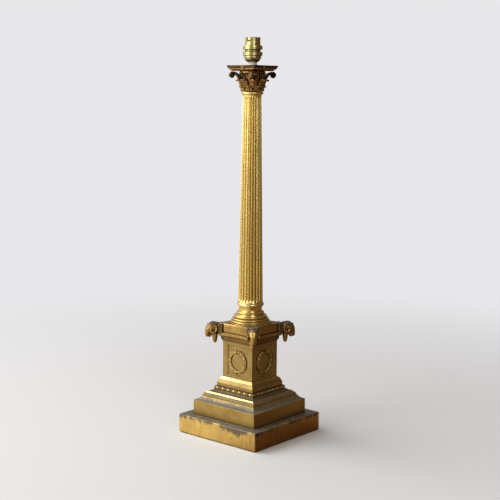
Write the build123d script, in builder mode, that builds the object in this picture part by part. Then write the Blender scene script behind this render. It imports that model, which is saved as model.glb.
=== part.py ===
from build123d import *
from math import asin, atan2, cos, degrees, pi, radians, sin, sqrt
import os

os.makedirs("parts", exist_ok=True)

# A brass column table lamp: stepped square plinth, pedestal with ram's heads at its corners,
# fluted column, Corinthian capital and a bayonet lampholder, all drawn up on one hollow rod.
# Millimetres, Z up, origin on the table under the middle of the lamp.

# ------------------------------------------------------------------ heights, from the table up
baize_thick = 1.5
lower_plinth_high = 32.0
upper_plinth_high = 25.5
moulding_high = 19.5
egg_strip_high = 5.8
foot_high = 17.7
die_high = 64.0
cornice_high = 33.0
column_base_high = 30.5
shaft_high = 376.0
bell_high = 35.0
abacus_high = 9.5
spacer_high = 5.2

# ------------------------------------------------------------------ plan sizes of the square pieces
lower_plinth_side = 179.0
upper_plinth_side = 142.7
moulding_side = 118.0
egg_strip_side = 91.2
foot_side = 83.4
die_side = 68.4
fascia_side = 84.0
cornice_top_side = 77.0
side_hollow = 5.0            # how far the cornice's sides curve in, in plan
casting_wall = 2.8
worn_edge = 1.0              # bevel of the plinths' handled edges

# ------------------------------------------------------------------ clearances
rod_fit = 0.3                # round the tie rod
thread_fit = 0.05            # between a screw and its hole
slide_fit = 0.12             # between a ring or plunger and what it runs on
rest_gap = 0.2               # between a moving piece and its stop

# ------------------------------------------------------------------ levels
lower_plinth_z = baize_thick
upper_plinth_z = lower_plinth_z + lower_plinth_high
moulding_z = upper_plinth_z + upper_plinth_high
egg_strip_z = moulding_z + moulding_high
foot_z = egg_strip_z + egg_strip_high
die_z = foot_z + foot_high
cornice_z = die_z + die_high
column_base_z = cornice_z + cornice_high
shaft_z = column_base_z + column_base_high
bell_z = shaft_z + shaft_high
abacus_z = bell_z + bell_high
spacer_z = abacus_z + abacus_high
holder_z = spacer_z + spacer_high

# ------------------------------------------------------------------ tie rod and its ends
rod_r = 5.0
rod_bore_r = 3.5
rod_below_nut = 1.0
rod_in_cap = 3.0
nut_across = 17.0
nut_high = 5.0
washer_side = 26.0
washer_thick = 1.5
ballast_side = 128.0
ballast_high = 12.0
ballast_corner = 5.0
plate_thick = 2.0
plate_gap = 0.4              # round the base plate, inside the plinth

quarter_turns = (0, 90, 180, 270)
small_sides = 8              # flat sides that stand for a small round piece
large_sides = 24             # and for a large one


def side_plane(turn, distance, height):
    """A plane facing outwards from one side of the lamp, at a distance from its axis."""
    out = Vector(cos(radians(turn)), sin(radians(turn)), 0)
    across = Vector(-sin(radians(turn)), cos(radians(turn)), 0)
    centre = out * distance + Vector(0, 0, height)
    return Plane(origin=centre, x_dir=across, z_dir=out)


def square_moulding(draw_side, reach):
    """A square block whose four sides follow one drawn half outline and meet in mitres."""
    with BuildPart() as block:
        for plane, mode in ((Plane.XZ, Mode.ADD), (Plane.YZ, Mode.INTERSECT)):
            with BuildSketch(plane):
                with BuildLine():
                    draw_side()
                    mirror(about=Plane.YZ)
                make_face()
            extrude(amount=reach, both=True, mode=mode)
    return block.part


def round_plan(r, sides):
    """A circle drawn with flat sides, which lie at its radius; one of them faces along X."""
    RegularPolygon(r, sides, major_radius=False, rotation=180 / sides)


def flared_band(high, low_r, high_r, sides):
    """A many-sided band that widens upwards from height 0, drawn upside down and turned over."""
    with BuildPart() as band:
        with BuildSketch():
            RegularPolygon(high_r, sides, major_radius=False)
        extrude(amount=high, taper=degrees(atan2(high_r - low_r, high)))
    return band.part.locate(Location((0, 0, high), (180, 0, 0)))


with BuildPart() as rod_way:             # the way of the tie rod through every piece of the stack
    with BuildSketch():
        round_plan(rod_r + rod_fit, small_sides)
    extrude(amount=holder_z)


def keep(builder, name):
    """Labels a finished piece and writes it."""
    builder.part.label = name
    export_step(builder.part, f"parts/{name}.step")


# ================================================================== baize pad
# Green cloth glued under the plinth; the lamp stands on it.
baize_inset = 2.0
with BuildPart() as baize_pad:
    with BuildSketch():
        baize_side = lower_plinth_side - 2 * baize_inset
        RectangleRounded(baize_side, baize_side, baize_inset)
    extrude(amount=baize_thick)
keep(baize_pad, "baize_pad")

# ================================================================== lower plinth
# Cast tray, open below, with a lug in each corner for the base plate's screws
# and a hole in its rear wall for the flex.
inner_half = lower_plinth_side / 2 - casting_wall
lug_side = 11.0
screw_r = 2.0
screw_long = 11.0
screw_pitch = 2 * inner_half - lug_side
plate_top = lower_plinth_z + plate_thick
inlet_r = 5.0                # hole in the rear wall
inlet_z = 14.0
with BuildPart() as lower_plinth:
    with BuildSketch(Plane.XY.offset(lower_plinth_z)):
        Rectangle(lower_plinth_side, lower_plinth_side)
    extrude(amount=lower_plinth_high)
    chamfer(lower_plinth.edges().filter_by(Axis.Z), worn_edge)
    chamfer(lower_plinth.faces().sort_by(Axis.Z)[-1].edges(), worn_edge)
    with BuildSketch(Plane.XY.offset(lower_plinth_z)):
        Rectangle(2 * inner_half, 2 * inner_half)
    extrude(amount=lower_plinth_high - casting_wall, mode=Mode.SUBTRACT)
    with BuildSketch(Plane.XY.offset(plate_top)):
        with GridLocations(screw_pitch, screw_pitch, 2, 2):
            Rectangle(lug_side, lug_side)
    extrude(amount=upper_plinth_z - casting_wall - plate_top)
    with BuildSketch(Plane.XY.offset(plate_top)):
        with GridLocations(screw_pitch, screw_pitch, 2, 2):
            round_plan(screw_r + thread_fit, small_sides)
    extrude(amount=screw_long, mode=Mode.SUBTRACT)
    add(rod_way.part, mode=Mode.SUBTRACT)
    with BuildSketch(side_plane(90, lower_plinth_side / 2, inlet_z)):
        Circle(inlet_r)
    extrude(amount=-2 * casting_wall, mode=Mode.SUBTRACT)
keep(lower_plinth, "lower_plinth")

# ================================================================== base plate and its screws
# Steel sheet let into the plinth's underside, with four countersunk screws.
head_r = 3.6
plate_side = 2 * (inner_half - plate_gap)
with BuildPart() as base_plate:
    with BuildSketch(Plane.XY.offset(lower_plinth_z)):
        Rectangle(plate_side, plate_side)
    extrude(amount=plate_thick)
    with BuildSketch(Plane.XY.offset(lower_plinth_z)):
        with GridLocations(screw_pitch, screw_pitch, 2, 2):
            round_plan(screw_r + rod_fit, small_sides)
    extrude(amount=plate_thick, mode=Mode.SUBTRACT)
    with BuildSketch(Plane.XY.offset(lower_plinth_z)):
        with GridLocations(screw_pitch, screw_pitch, 2, 2):
            round_plan(head_r + thread_fit, small_sides)
    extrude(amount=head_r - screw_r, taper=45, mode=Mode.SUBTRACT)
keep(base_plate, "base_plate")

with BuildPart() as base_plate_screws:
    with BuildSketch(Plane.XY.offset(lower_plinth_z)):
        with GridLocations(screw_pitch, screw_pitch, 2, 2):
            round_plan(head_r, small_sides)
    extrude(amount=head_r - screw_r, taper=45)
    with BuildSketch(Plane.XY.offset(lower_plinth_z)):
        with GridLocations(screw_pitch, screw_pitch, 2, 2):
            round_plan(screw_r, small_sides)
    extrude(amount=screw_long)
keep(base_plate_screws, "base_plate_screws")

# ================================================================== ballast
# Cast-iron slab drawn up under the plinth's top by the rod's nut.
ballast_z = upper_plinth_z - casting_wall - ballast_high
with BuildPart() as ballast_block:
    with BuildSketch(Plane.XY.offset(ballast_z)):
        Rectangle(ballast_side, ballast_side)
    extrude(amount=ballast_high)
    chamfer(ballast_block.edges().filter_by(Axis.Z), ballast_corner)
    add(rod_way.part, mode=Mode.SUBTRACT)
keep(ballast_block, "ballast_block")

# ================================================================== tie rod, nut and washer
washer_z = ballast_z - washer_thick
nut_z = washer_z - nut_high
rod_z = nut_z - rod_below_nut
rod_top = holder_z + rod_in_cap
with BuildPart() as tie_rod:
    with BuildSketch(Plane.XY.offset(rod_z)):
        Circle(rod_r)
        Circle(rod_bore_r, mode=Mode.SUBTRACT)
    extrude(amount=rod_top - rod_z)
keep(tie_rod, "tie_rod")

with BuildPart() as tie_rod_nut:
    with BuildSketch(Plane.XY.offset(nut_z)):
        RegularPolygon(nut_across / 2, 6, major_radius=False)
    extrude(amount=nut_high)
    with BuildSketch(Plane.XY.offset(nut_z)):
        round_plan(rod_r + thread_fit, large_sides)
    extrude(amount=nut_high, mode=Mode.SUBTRACT)
keep(tie_rod_nut, "tie_rod_nut")

with BuildPart() as tie_rod_washer:
    with BuildSketch(Plane.XY.offset(washer_z)):
        Rectangle(washer_side, washer_side)
    extrude(amount=washer_thick)
    add(rod_way.part, mode=Mode.SUBTRACT)
keep(tie_rod_washer, "tie_rod_washer")

# ================================================================== flex grommet
# Moulded bush snapped into the rear wall; the flex comes in through it.
flex_hole_r = 3.6
grommet_lip = 1.8            # how far each flange stands over the hole's edge
grommet_outer = 2.5          # flange thickness outside
grommet_inner = 2.0          # flange thickness inside
grommet_sides = 16
rear_face = lower_plinth_side / 2
with BuildPart() as flex_grommet:
    with BuildSketch(side_plane(90, rear_face, inlet_z)):
        round_plan(inlet_r + grommet_lip, grommet_sides)
    extrude(amount=grommet_outer)
    with BuildSketch(side_plane(90, rear_face, inlet_z)):
        RegularPolygon(inlet_r - thread_fit, grommet_sides)
    extrude(amount=-casting_wall)
    with BuildSketch(side_plane(90, rear_face - casting_wall, inlet_z)):
        round_plan(inlet_r + grommet_lip, grommet_sides)
    extrude(amount=-grommet_inner)
    with BuildSketch(side_plane(90, rear_face + grommet_outer, inlet_z)):
        Circle(flex_hole_r)
    extrude(amount=-(grommet_outer + casting_wall + grommet_inner), mode=Mode.SUBTRACT)
keep(flex_grommet, "flex_grommet")

# ================================================================== upper plinth
upper_inner = upper_plinth_side / 2 - casting_wall
with BuildPart() as upper_plinth:
    with BuildSketch(Plane.XY.offset(upper_plinth_z)):
        Rectangle(upper_plinth_side, upper_plinth_side)
    extrude(amount=upper_plinth_high)
    chamfer(upper_plinth.edges().filter_by(Axis.Z), worn_edge)
    chamfer(upper_plinth.faces().sort_by(Axis.Z)[-1].edges(), worn_edge / 2)
    with BuildSketch(Plane.XY.offset(upper_plinth_z)):
        Rectangle(2 * upper_inner, 2 * upper_inner)
    extrude(amount=upper_plinth_high - casting_wall, mode=Mode.SUBTRACT)
    add(rod_way.part, mode=Mode.SUBTRACT)
keep(upper_plinth, "upper_plinth")

# ================================================================== plinth moulding
# A hollow weathering that climbs to a fillet, an upright face above it, and a bevelled slope in.
weathering_high = 7.2
weathering_sag = 1.3
fillet_high = 0.9
fillet_wide = 1.6
ovolo_slope = ((58.6, 70.6), (55.6, 73.1), (53.0, 74.6))     # distance out and height
moulding_foot = upper_plinth_side / 2 - worn_edge
ovolo_foot = moulding_foot - (upper_plinth_side - moulding_side) / 2
ovolo_top = egg_strip_side / 2 + 0.6


def moulding_outline():
    fillet_z = moulding_z + weathering_high
    ovolo_z = fillet_z + fillet_high
    hollow_low = (moulding_foot, moulding_z)
    hollow_high = (ovolo_foot + fillet_wide, fillet_z)
    Line((0, moulding_z), hollow_low)
    SagittaArc(hollow_low, hollow_high, -weathering_sag)
    Line(hollow_high, (ovolo_foot + fillet_wide, ovolo_z))
    Line((ovolo_foot + fillet_wide, ovolo_z), (ovolo_foot, ovolo_z))
    Polyline((ovolo_foot, ovolo_z), *ovolo_slope, (ovolo_top, egg_strip_z))
    Line((ovolo_top, egg_strip_z), (0, egg_strip_z))


moulding_block = square_moulding(moulding_outline, upper_plinth_side)
pocket_deep = moulding_high - casting_wall
pocket_taper = degrees(atan2(ovolo_foot - ovolo_top, pocket_deep))
with BuildPart() as plinth_moulding:
    add(moulding_block)
    with BuildSketch(Plane.XY.offset(moulding_z)):
        pocket = 2 * (ovolo_foot - casting_wall)
        Rectangle(pocket, pocket)
    extrude(amount=pocket_deep, taper=pocket_taper, mode=Mode.SUBTRACT)
    add(rod_way.part, mode=Mode.SUBTRACT)
keep(plinth_moulding, "plinth_moulding")

# ================================================================== egg strip
# A square band with a row of cast eggs round it, under the pedestal's foot.
egg_count = 7                # on each side
egg_wide = 8.5
egg_proud = 0.9
strip_wide = 9.0
strip_half = egg_strip_side / 2 - egg_proud


def egg_strip_outline():
    top = foot_z
    Line((0, egg_strip_z), (strip_half, egg_strip_z))
    Line((strip_half, egg_strip_z), (strip_half - egg_proud, top))
    Line((strip_half - egg_proud, top), (0, top))


egg_strip_block = square_moulding(egg_strip_outline, egg_strip_side)
with BuildPart() as egg_strip:
    add(egg_strip_block)
    for turn in quarter_turns:
        pitch = 2 * strip_half / egg_count
        with BuildSketch(side_plane(turn, strip_half - egg_proud, egg_strip_z + egg_strip_high / 2)):
            with GridLocations(pitch, 1, egg_count, 1):
                egg_high = 0.72 * egg_strip_high
                RegularPolygon(egg_wide / 2, 6)
                Rectangle(egg_wide + 1, egg_high, mode=Mode.INTERSECT)
        extrude(amount=2 * egg_proud)
    with BuildSketch(Plane.XY.offset(egg_strip_z)):
        opening = 2 * (strip_half - strip_wide)
        Rectangle(opening, opening)
    extrude(amount=egg_strip_high, mode=Mode.SUBTRACT)
keep(egg_strip, "egg_strip")

# ================================================================== pedestal foot
# Upright fascia with a broad splay up to the die.
fascia_high = 7.4
splay_bulge = 0.5


def foot_outline():
    fascia_top = (foot_side / 2, foot_z + fascia_high)
    Line((0, foot_z), (foot_side / 2, foot_z))
    Line((foot_side / 2, foot_z), fascia_top)
    SagittaArc(fascia_top, (die_side / 2, die_z), splay_bulge)
    Line((die_side / 2, die_z), (0, die_z))


foot_block = square_moulding(foot_outline, foot_side)
with BuildPart() as pedestal_foot:
    add(foot_block)
    with BuildSketch(Plane.XY.offset(foot_z)):
        pocket = foot_side - 2 * casting_wall
        Rectangle(pocket, pocket)
    foot_pocket_deep = foot_high - casting_wall
    extrude(amount=foot_pocket_deep, mode=Mode.SUBTRACT,
            taper=degrees(atan2((foot_side - die_side) / 2, foot_pocket_deep)))
    add(rod_way.part, mode=Mode.SUBTRACT)
keep(pedestal_foot, "pedestal_foot")

# ================================================================== pedestal die
# Square tube with a sunk panel on each face; two tongues of each wreath pass through it.
die_wall = 3.4
panel_wide = 46.0
panel_low = 4.5              # below the panel
panel_high = 55.0
panel_deep = 1.4
tongue_side = 2.4
tongue_pitch = 36.0
panel_z = die_z + panel_low + panel_high / 2
wreath_z = die_z + 28.0
with BuildPart() as pedestal_die:
    with BuildSketch(Plane.XY.offset(die_z)):
        Rectangle(die_side, die_side)
        Rectangle(die_side - 2 * die_wall, die_side - 2 * die_wall, mode=Mode.SUBTRACT)
    extrude(amount=die_high)
    for turn in quarter_turns:
        with BuildSketch(side_plane(turn, die_side / 2, panel_z)):
            Rectangle(panel_wide, panel_high)
        extrude(amount=-panel_deep, taper=30, mode=Mode.SUBTRACT)
        with BuildSketch(side_plane(turn, die_side / 2, wreath_z)):
            with GridLocations(1, tongue_pitch, 1, 2):
                Rectangle(tongue_side + 2 * thread_fit, tongue_side + 2 * thread_fit)
        extrude(amount=-die_wall, mode=Mode.SUBTRACT)
keep(pedestal_die, "pedestal_die")

# ================================================================== wreaths
# Laurel wreaths cast apart: two branches of paired leaves climb from the bottom to the top.
wreath_r = 18.1              # to the middle of the garland
laurel_long = 10.0
laurel_wide = 4.4
laurel_thick = 2.0
laurel_splay = 24.0
laurel_offset = 1.7
leaf_pairs = 6               # on each branch
tongue_proud = 0.5           # peened end inside the die
with BuildPart() as wreath_form:
    with BuildSketch():
        for branch in (1, -1):
            for pair in range(leaf_pairs):
                along = -90 + branch * (pair + 0.5) * 180 / leaf_pairs
                for row in (1, -1):
                    r = wreath_r + row * laurel_offset
                    lean = along + branch * (90 - row * laurel_splay)
                    with Locations(Location((r * cos(radians(along)), r * sin(radians(along)), 0),
                                            (0, 0, lean))):
                        Polygon((-laurel_long / 2, 0), (0, laurel_wide / 2),
                                (laurel_long / 2, 0), (0, -laurel_wide / 2))
    extrude(amount=laurel_thick)
    with GridLocations(1, tongue_pitch, 1, 2):
        Box(tongue_side, tongue_side, die_wall - panel_deep + tongue_proud,
            align=(Align.CENTER, Align.CENTER, Align.MAX))

wreath_places = {"wreath_right": 0, "wreath_rear": 90, "wreath_left": 180, "wreath_front": 270}
for name, turn in wreath_places.items():
    with BuildPart() as wreath:
        with Locations(side_plane(turn, die_side / 2 - panel_deep, wreath_z)):
            add(wreath_form.part)
    keep(wreath, name)

# ================================================================== cornice
# Hollow casting whose sides curve in between its corners: bed mould, projecting fascia, a set
# back face and a weathered top. Each corner is cut off square to seat a ram's head.
bed_mould = ((35.6, 167.6), (36.6, 170.6), (37.0, 174.5))    # distance out and height
fascia_z = cornice_z + 10.0
face_z = cornice_z + 17.0
fascia_underside = (3.4, 2.4)          # bevel under the fascia, in and up
weathered_edge = (1.2, 3.2)            # bevel at the top, in and down
head_seat = 56.0             # from the axis to a ram's head's seat
pocket_corner = 6.5
pocket_roof = 6.0
bolt_r = 2.0
bolt_head_r = 3.4
bolt_head_thick = 2.2
bolt_grip = 10.0             # length of bolt inside the ram's head
bolt_z = cornice_z + 20.0
hollow_steps = 6             # straight pieces that make up each hollow side
pocket_side = die_side - 2 * die_wall
bolt_seat = (pocket_side - pocket_corner) / sqrt(2)


def hollow_square(side, hollow):
    """A square plan whose four sides curve in along an arc."""
    corner = side / 2 + hollow
    arc_r = (corner ** 2 + hollow ** 2) / (2 * hollow)
    reach = asin(corner / arc_r)
    outline = []
    for turn in quarter_turns:
        for step in range(hollow_steps):
            angle = reach * (2 * step / hollow_steps - 1)
            point = Vector(side / 2 + arc_r * (1 - cos(angle)), arc_r * sin(angle))
            outline.append(point.rotate(Axis.Z, turn))
    with BuildSketch() as plan:
        with BuildLine():
            Polyline(*outline, close=True)
        make_face()
    return plan.sketch


def bed_mould_outline():
    Polyline((0, cornice_z), (die_side / 2, cornice_z), *bed_mould,
             (bed_mould[-1][0], face_z), (0, face_z))


bed_mould_block = square_moulding(bed_mould_outline, fascia_side)
with BuildPart() as fascia:
    with BuildSketch(Plane.XY.offset(fascia_z)):
        add(hollow_square(fascia_side, side_hollow))
    extrude(amount=face_z - fascia_z)
    underside = fascia.faces().sort_by(Axis.Z)[0]
    chamfer(underside.edges(), *fascia_underside, reference=underside)

with BuildPart() as cornice:
    with BuildSketch(Plane.XY.offset(fascia_z)):
        add(hollow_square(cornice_top_side, side_hollow))
    extrude(amount=column_base_z - fascia_z)
    weathered_top = cornice.faces().sort_by(Axis.Z)[-1]
    chamfer(weathered_top.edges(), *weathered_edge, reference=weathered_top)
    add(fascia.part)
    add(bed_mould_block)
    with BuildSketch(Plane.XY.offset(cornice_z)):
        Rectangle(2 * head_seat, 2 * head_seat, rotation=45)
    extrude(amount=cornice_high, mode=Mode.INTERSECT)
    with BuildSketch(Plane.XY.offset(cornice_z)) as cornice_pocket:
        Rectangle(pocket_side, pocket_side)
        chamfer(cornice_pocket.vertices(), length=pocket_corner)
    extrude(amount=cornice_high - pocket_roof, mode=Mode.SUBTRACT)
    for turn in quarter_turns:
        with BuildSketch(side_plane(turn + 45, head_seat, bolt_z)):
            round_plan(bolt_r + thread_fit, small_sides)
        extrude(amount=bolt_seat - head_seat, mode=Mode.SUBTRACT)
    add(rod_way.part, mode=Mode.SUBTRACT)
keep(cornice, "cornice")

# ================================================================== ram's heads
# Four castings on the cornice's corners, each bolted from inside: a skull that narrows to the
# muzzle, a curled horn on either side and a drop of wool under the throat.
# The outlines give places out from the lamp's axis, to the side, and above the cornice's foot.
skull_side = ((head_seat, 14), (head_seat, 33), (63, 36), (71, 35.5), (77, 31.5), (80, 22),
              (80.5, 15), (78.5, 8.5), (75, 7.2), (72.5, 12), (68, 16))
skull_front = ((4, 37), (7.5, 33), (8, 25), (5.6, 18), (4.3, 11), (2.8, 6.5))
skull_plan = ((head_seat, 8), (71, 8), (78, 5.5), (81, 2.8))
wool_side = ((head_seat + 1, 18), (68, 18), (66.5, 6), (63.5, -3), (61, -3), (58.5, 6))
wool_front = ((5.5, 18), (5, 8), (2, -3))
horn_front = ((5, 37), (10, 34.5), (13, 27), (13, 18), (10, 9))
horn_centre = Vector(67.2, cornice_z + 22.4)
horn_curl_r = (9.4, 3.6)     # of the curl, first and last
horn_thick = (5.6, 1.8)
horn_start = 62.0
horn_sweep = 390.0
horn_steps = 12
horn_root = 5.5              # out to the side
head_top = cornice_high + 5.0


def raised(outline):
    """An outline given above the cornice's foot, in the lamp's own heights."""
    return [(across, cornice_z + up) for across, up in outline]


def crossed(side_outline, front_outline):
    """The solid that has one outline from the side and the other from the front."""
    with BuildPart() as body:
        with BuildSketch(Plane.XZ):
            Polygon(*raised(side_outline), align=None)
        extrude(amount=head_seat, both=True)
        with BuildSketch(Plane.YZ):
            with BuildLine():
                Polyline((0, raised(front_outline)[0][1]), *raised(front_outline),
                         (0, raised(front_outline)[-1][1]))
                mirror(about=Plane.YZ)
            make_face()
        extrude(amount=2 * head_seat, mode=Mode.INTERSECT)
    return body.part


def horn_band():
    """Points round one flat curl of horn, in heights above the cornice's foot."""
    outer, inner = [], []
    for step in range(horn_steps + 1):
        share = step / horn_steps
        angle = radians(horn_start + share * horn_sweep)
        r = horn_curl_r[0] + share * (horn_curl_r[1] - horn_curl_r[0])
        half = (horn_thick[0] + share * (horn_thick[1] - horn_thick[0])) / 2
        out = Vector(cos(angle), sin(angle))
        outer.append(horn_centre + out * (r + half))
        inner.append(horn_centre + out * (r - half))
    return [(point.X, point.Y - cornice_z) for point in outer + inner[::-1]]


skull_block = crossed(skull_side, skull_front)
wool_block = crossed(wool_side, wool_front)
horn_block = crossed(horn_band(), horn_front)
with BuildPart() as ram_head_form:
    add(skull_block)
    with BuildSketch(Plane.XY.offset(cornice_z)):
        with BuildLine():
            Polyline((head_seat, 0), *skull_plan, (skull_plan[-1][0], 0))
            mirror(about=Plane.XZ)
        make_face()
    extrude(amount=head_top, mode=Mode.INTERSECT)
    add(wool_block)
    with BuildPart(mode=Mode.PRIVATE) as horns:
        add(horn_block)
        Box(4 * head_seat, 2 * horn_root, 2 * (cornice_z + head_top), mode=Mode.SUBTRACT)
    add(horns.part)
    with BuildSketch(side_plane(0, head_seat, bolt_z)):
        round_plan(bolt_r + thread_fit, small_sides)
    extrude(amount=bolt_grip + rest_gap, mode=Mode.SUBTRACT)

ram_head_places = {"ram_head_rear_right": 45, "ram_head_rear_left": 135,
                   "ram_head_front_left": 225, "ram_head_front_right": 315}
for name, turn in ram_head_places.items():
    with BuildPart() as ram_head:
        with Locations(Rotation(0, 0, turn)):
            add(ram_head_form.part)
    keep(ram_head, name)

with BuildPart() as ram_head_bolts:
    for turn in quarter_turns:
        with BuildSketch(side_plane(turn + 45, bolt_seat, bolt_z)):
            RegularPolygon(bolt_head_r, 6)
        extrude(amount=-bolt_head_thick)
        with BuildSketch(side_plane(turn + 45, bolt_seat, bolt_z)):
            round_plan(bolt_r, small_sides)
        extrude(amount=head_seat - bolt_seat + bolt_grip)
keep(ram_head_bolts, "ram_head_bolts")

# ================================================================== column base
# Turned base: a pile of rings that step in to a neck under the shaft.
base_rings = (               # radius and height of each ring, from below
    (37.0, 2.0),
    (35.0, 3.2),
    (32.7, 4.4),
    (29.5, 5.4),
    (24.6, 5.4),
)
neck_r = 20.2
base_sides = 24
with BuildPart() as column_base:
    ring_z = column_base_z
    for r, high in base_rings:
        with BuildSketch(Plane.XY.offset(ring_z)):
            RegularPolygon(r, base_sides)
        extrude(amount=high)
        ring_z += high
    with BuildSketch(Plane.XY.offset(ring_z)):
        RegularPolygon(neck_r, base_sides)
    extrude(amount=shaft_z - ring_z)
    add(rod_way.part, mode=Mode.SUBTRACT)
keep(column_base, "column_base")

# ================================================================== fluted shaft
# Tapering tube with flutes that stop short of its ring at the foot and its astragal at the top.
flute_count = 24
foot_ring_high = 6.5
foot_ring_r = 23.75
shaft_foot_r = 21.9
shaft_top_r = 15.85
astragal_high = 5.5
astragal_r = 19.2
ring_bevel = 1.7
shaft_bore_r = 11.5
flute_r = 2.35
flute_out = (0.75, 1.65)     # how far a flute's centre line lies outside the shaft, low and high
flute_margin = 5.0           # plain shaft beyond a flute's end
flute_sides = 8
foot_ring_top = shaft_z + foot_ring_high
astragal_z = bell_z - astragal_high
plain_high = astragal_z - foot_ring_top


def bevelled_ring(r, high, bevel):
    """A ring with as many sides as the shaft has flutes, and both of its edges bevelled."""
    with BuildPart() as ring:
        with BuildSketch():
            RegularPolygon(r, flute_count, major_radius=False)
        extrude(amount=high)
        level_faces = ring.faces().filter_by(Axis.Z)
        chamfer([edge for face in level_faces for edge in face.edges()], bevel)
    return ring.part


foot_ring = bevelled_ring(foot_ring_r, foot_ring_high, ring_bevel)
astragal = bevelled_ring(astragal_r, astragal_high, ring_bevel)
with BuildPart() as fluted_shaft:
    with BuildSketch(Plane.XY.offset(foot_ring_top)):
        RegularPolygon(shaft_foot_r, flute_count, major_radius=False)
    extrude(amount=plain_high, taper=degrees(atan2(shaft_foot_r - shaft_top_r, plain_high)))
    with Locations((0, 0, shaft_z)):
        add(foot_ring)
    with Locations((0, 0, astragal_z)):
        add(astragal)
    with BuildSketch(Plane.XY.offset(shaft_z)):
        round_plan(shaft_bore_r, small_sides)
    extrude(amount=shaft_high, mode=Mode.SUBTRACT)

corner_share = 1 / cos(pi / flute_count)
flute_low = Vector(shaft_foot_r * corner_share + flute_out[0], 0, foot_ring_top + flute_margin)
flute_high = Vector(shaft_top_r * corner_share + flute_out[1], 0, astragal_z - flute_margin)
with BuildPart() as flute_cutter:
    with BuildSketch(Plane(origin=flute_low, x_dir=(0, 1, 0), z_dir=flute_high - flute_low)):
        round_plan(flute_r, flute_sides)
    extrude(amount=(flute_high - flute_low).length)

with fluted_shaft:
    with PolarLocations(0, flute_count):
        add(flute_cutter.part, mode=Mode.SUBTRACT)
keep(fluted_shaft, "fluted_shaft")

# ================================================================== capital bell
# The capital's many-sided core, which flares up to the abacus; the leaves seat on its flats.
bell_sides = 16
bell_bands = ((0.0, 17.8), (11.0, 19.6), (22.0, 20.6), (31.0, 22.2), (bell_high, 22.2))


def bell_r_at(up):
    """Distance from the axis to the bell's flats, at a height above the bell's foot."""
    for (low, low_r), (high, high_r) in zip(bell_bands, bell_bands[1:]):
        if up <= high:
            break
    return low_r + (high_r - low_r) * (up - low) / (high - low)


with BuildPart() as capital_bell:
    for (low, low_r), (high, high_r) in zip(bell_bands, bell_bands[1:]):
        with Locations(Location((0, 0, bell_z + low), (0, 0, 180 / bell_sides))):
            add(flared_band(high - low, low_r, high_r, bell_sides))
    add(rod_way.part, mode=Mode.SUBTRACT)
keep(capital_bell, "capital_bell")

# ================================================================== acanthus leaves
# Two rings of eight leaves with lobed edges and tips that curl out and over.
leaf_count = 8
leaf_foot_thick = 1.5
leaf_crown_thick = 1.0


def acanthus_leaf(low, tall, tip_r, wide):
    """One leaf at turn 0: a curled side profile crossed with a lobed front outline."""
    with BuildPart() as leaf:
        with BuildSketch(Plane.XZ):
            foot_r, crown_r = bell_r_at(low), bell_r_at(low + tall)
            Polygon((foot_r, low), (foot_r + leaf_foot_thick, low),
                    (bell_r_at(low + 0.45 * tall) + leaf_foot_thick, low + 0.45 * tall),
                    (tip_r - leaf_foot_thick, low + 0.64 * tall), (tip_r, low + 0.70 * tall),
                    (tip_r, low + 0.84 * tall), (tip_r - leaf_foot_thick, low + 0.97 * tall),
                    (crown_r + leaf_crown_thick, low + tall), (crown_r, low + tall), align=None)
        extrude(amount=wide / 2, both=True)
        with BuildSketch(Plane.YZ):
            with BuildLine():
                Polyline((0, low), (0.34 * wide, low), (0.44 * wide, low + 0.30 * tall),
                         (0.36 * wide, low + 0.36 * tall), (0.50 * wide, low + 0.62 * tall),
                         (0.34 * wide, low + 0.68 * tall), (0.30 * wide, low + 0.92 * tall),
                         (0, low + tall))
                mirror(about=Plane.YZ)
            make_face()
        extrude(amount=2 * tip_r, mode=Mode.INTERSECT)
    return leaf.part


leaf_rings = {               # name: first turn, foot above the bell's foot, height, tip, width
    "lower_leaves": (22.5, 0.0, 10.5, 22.6, 13.6),
    "upper_leaves": (0.0, 11.0, 11.0, 25.8, 14.4),
}
for name, (turn, low, tall, tip_r, wide) in leaf_rings.items():
    one_leaf = acanthus_leaf(low, tall, tip_r, wide)
    with BuildPart() as leaf_ring:
        with Locations((0, 0, bell_z)):
            with PolarLocations(0, leaf_count, start_angle=turn):
                add(one_leaf)
    keep(leaf_ring, name)

# ================================================================== abacus
# Square slab with hollow sides and cut corners, splayed out to its upper edge.
abacus_top_side = 52.0
abacus_hollow = 6.5
abacus_cut = (36.5, 44.2)    # from the axis to its cut corners, below and above
splay = (4.5, 7.0)           # bevel under the slab, in and up
with BuildPart() as abacus:
    with BuildSketch(Plane.XY.offset(abacus_z)):
        add(hollow_square(abacus_top_side, abacus_hollow))
    extrude(amount=abacus_high)
    underside = abacus.faces().sort_by(Axis.Z)[0]
    chamfer(underside.edges(), *splay, reference=underside)
    for turn in quarter_turns:
        with BuildSketch(Plane.XZ.rotated((0, 0, turn + 45))):
            Polygon((abacus_cut[0], abacus_z), (abacus_cut[1], abacus_z + splay[1]),
                    (abacus_cut[1], spacer_z), (abacus_cut[1] + splay[0], spacer_z),
                    (abacus_cut[1] + splay[0], abacus_z), align=None)
        extrude(amount=abacus_top_side, both=True, mode=Mode.SUBTRACT)
    add(rod_way.part, mode=Mode.SUBTRACT)
keep(abacus, "abacus")

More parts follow.
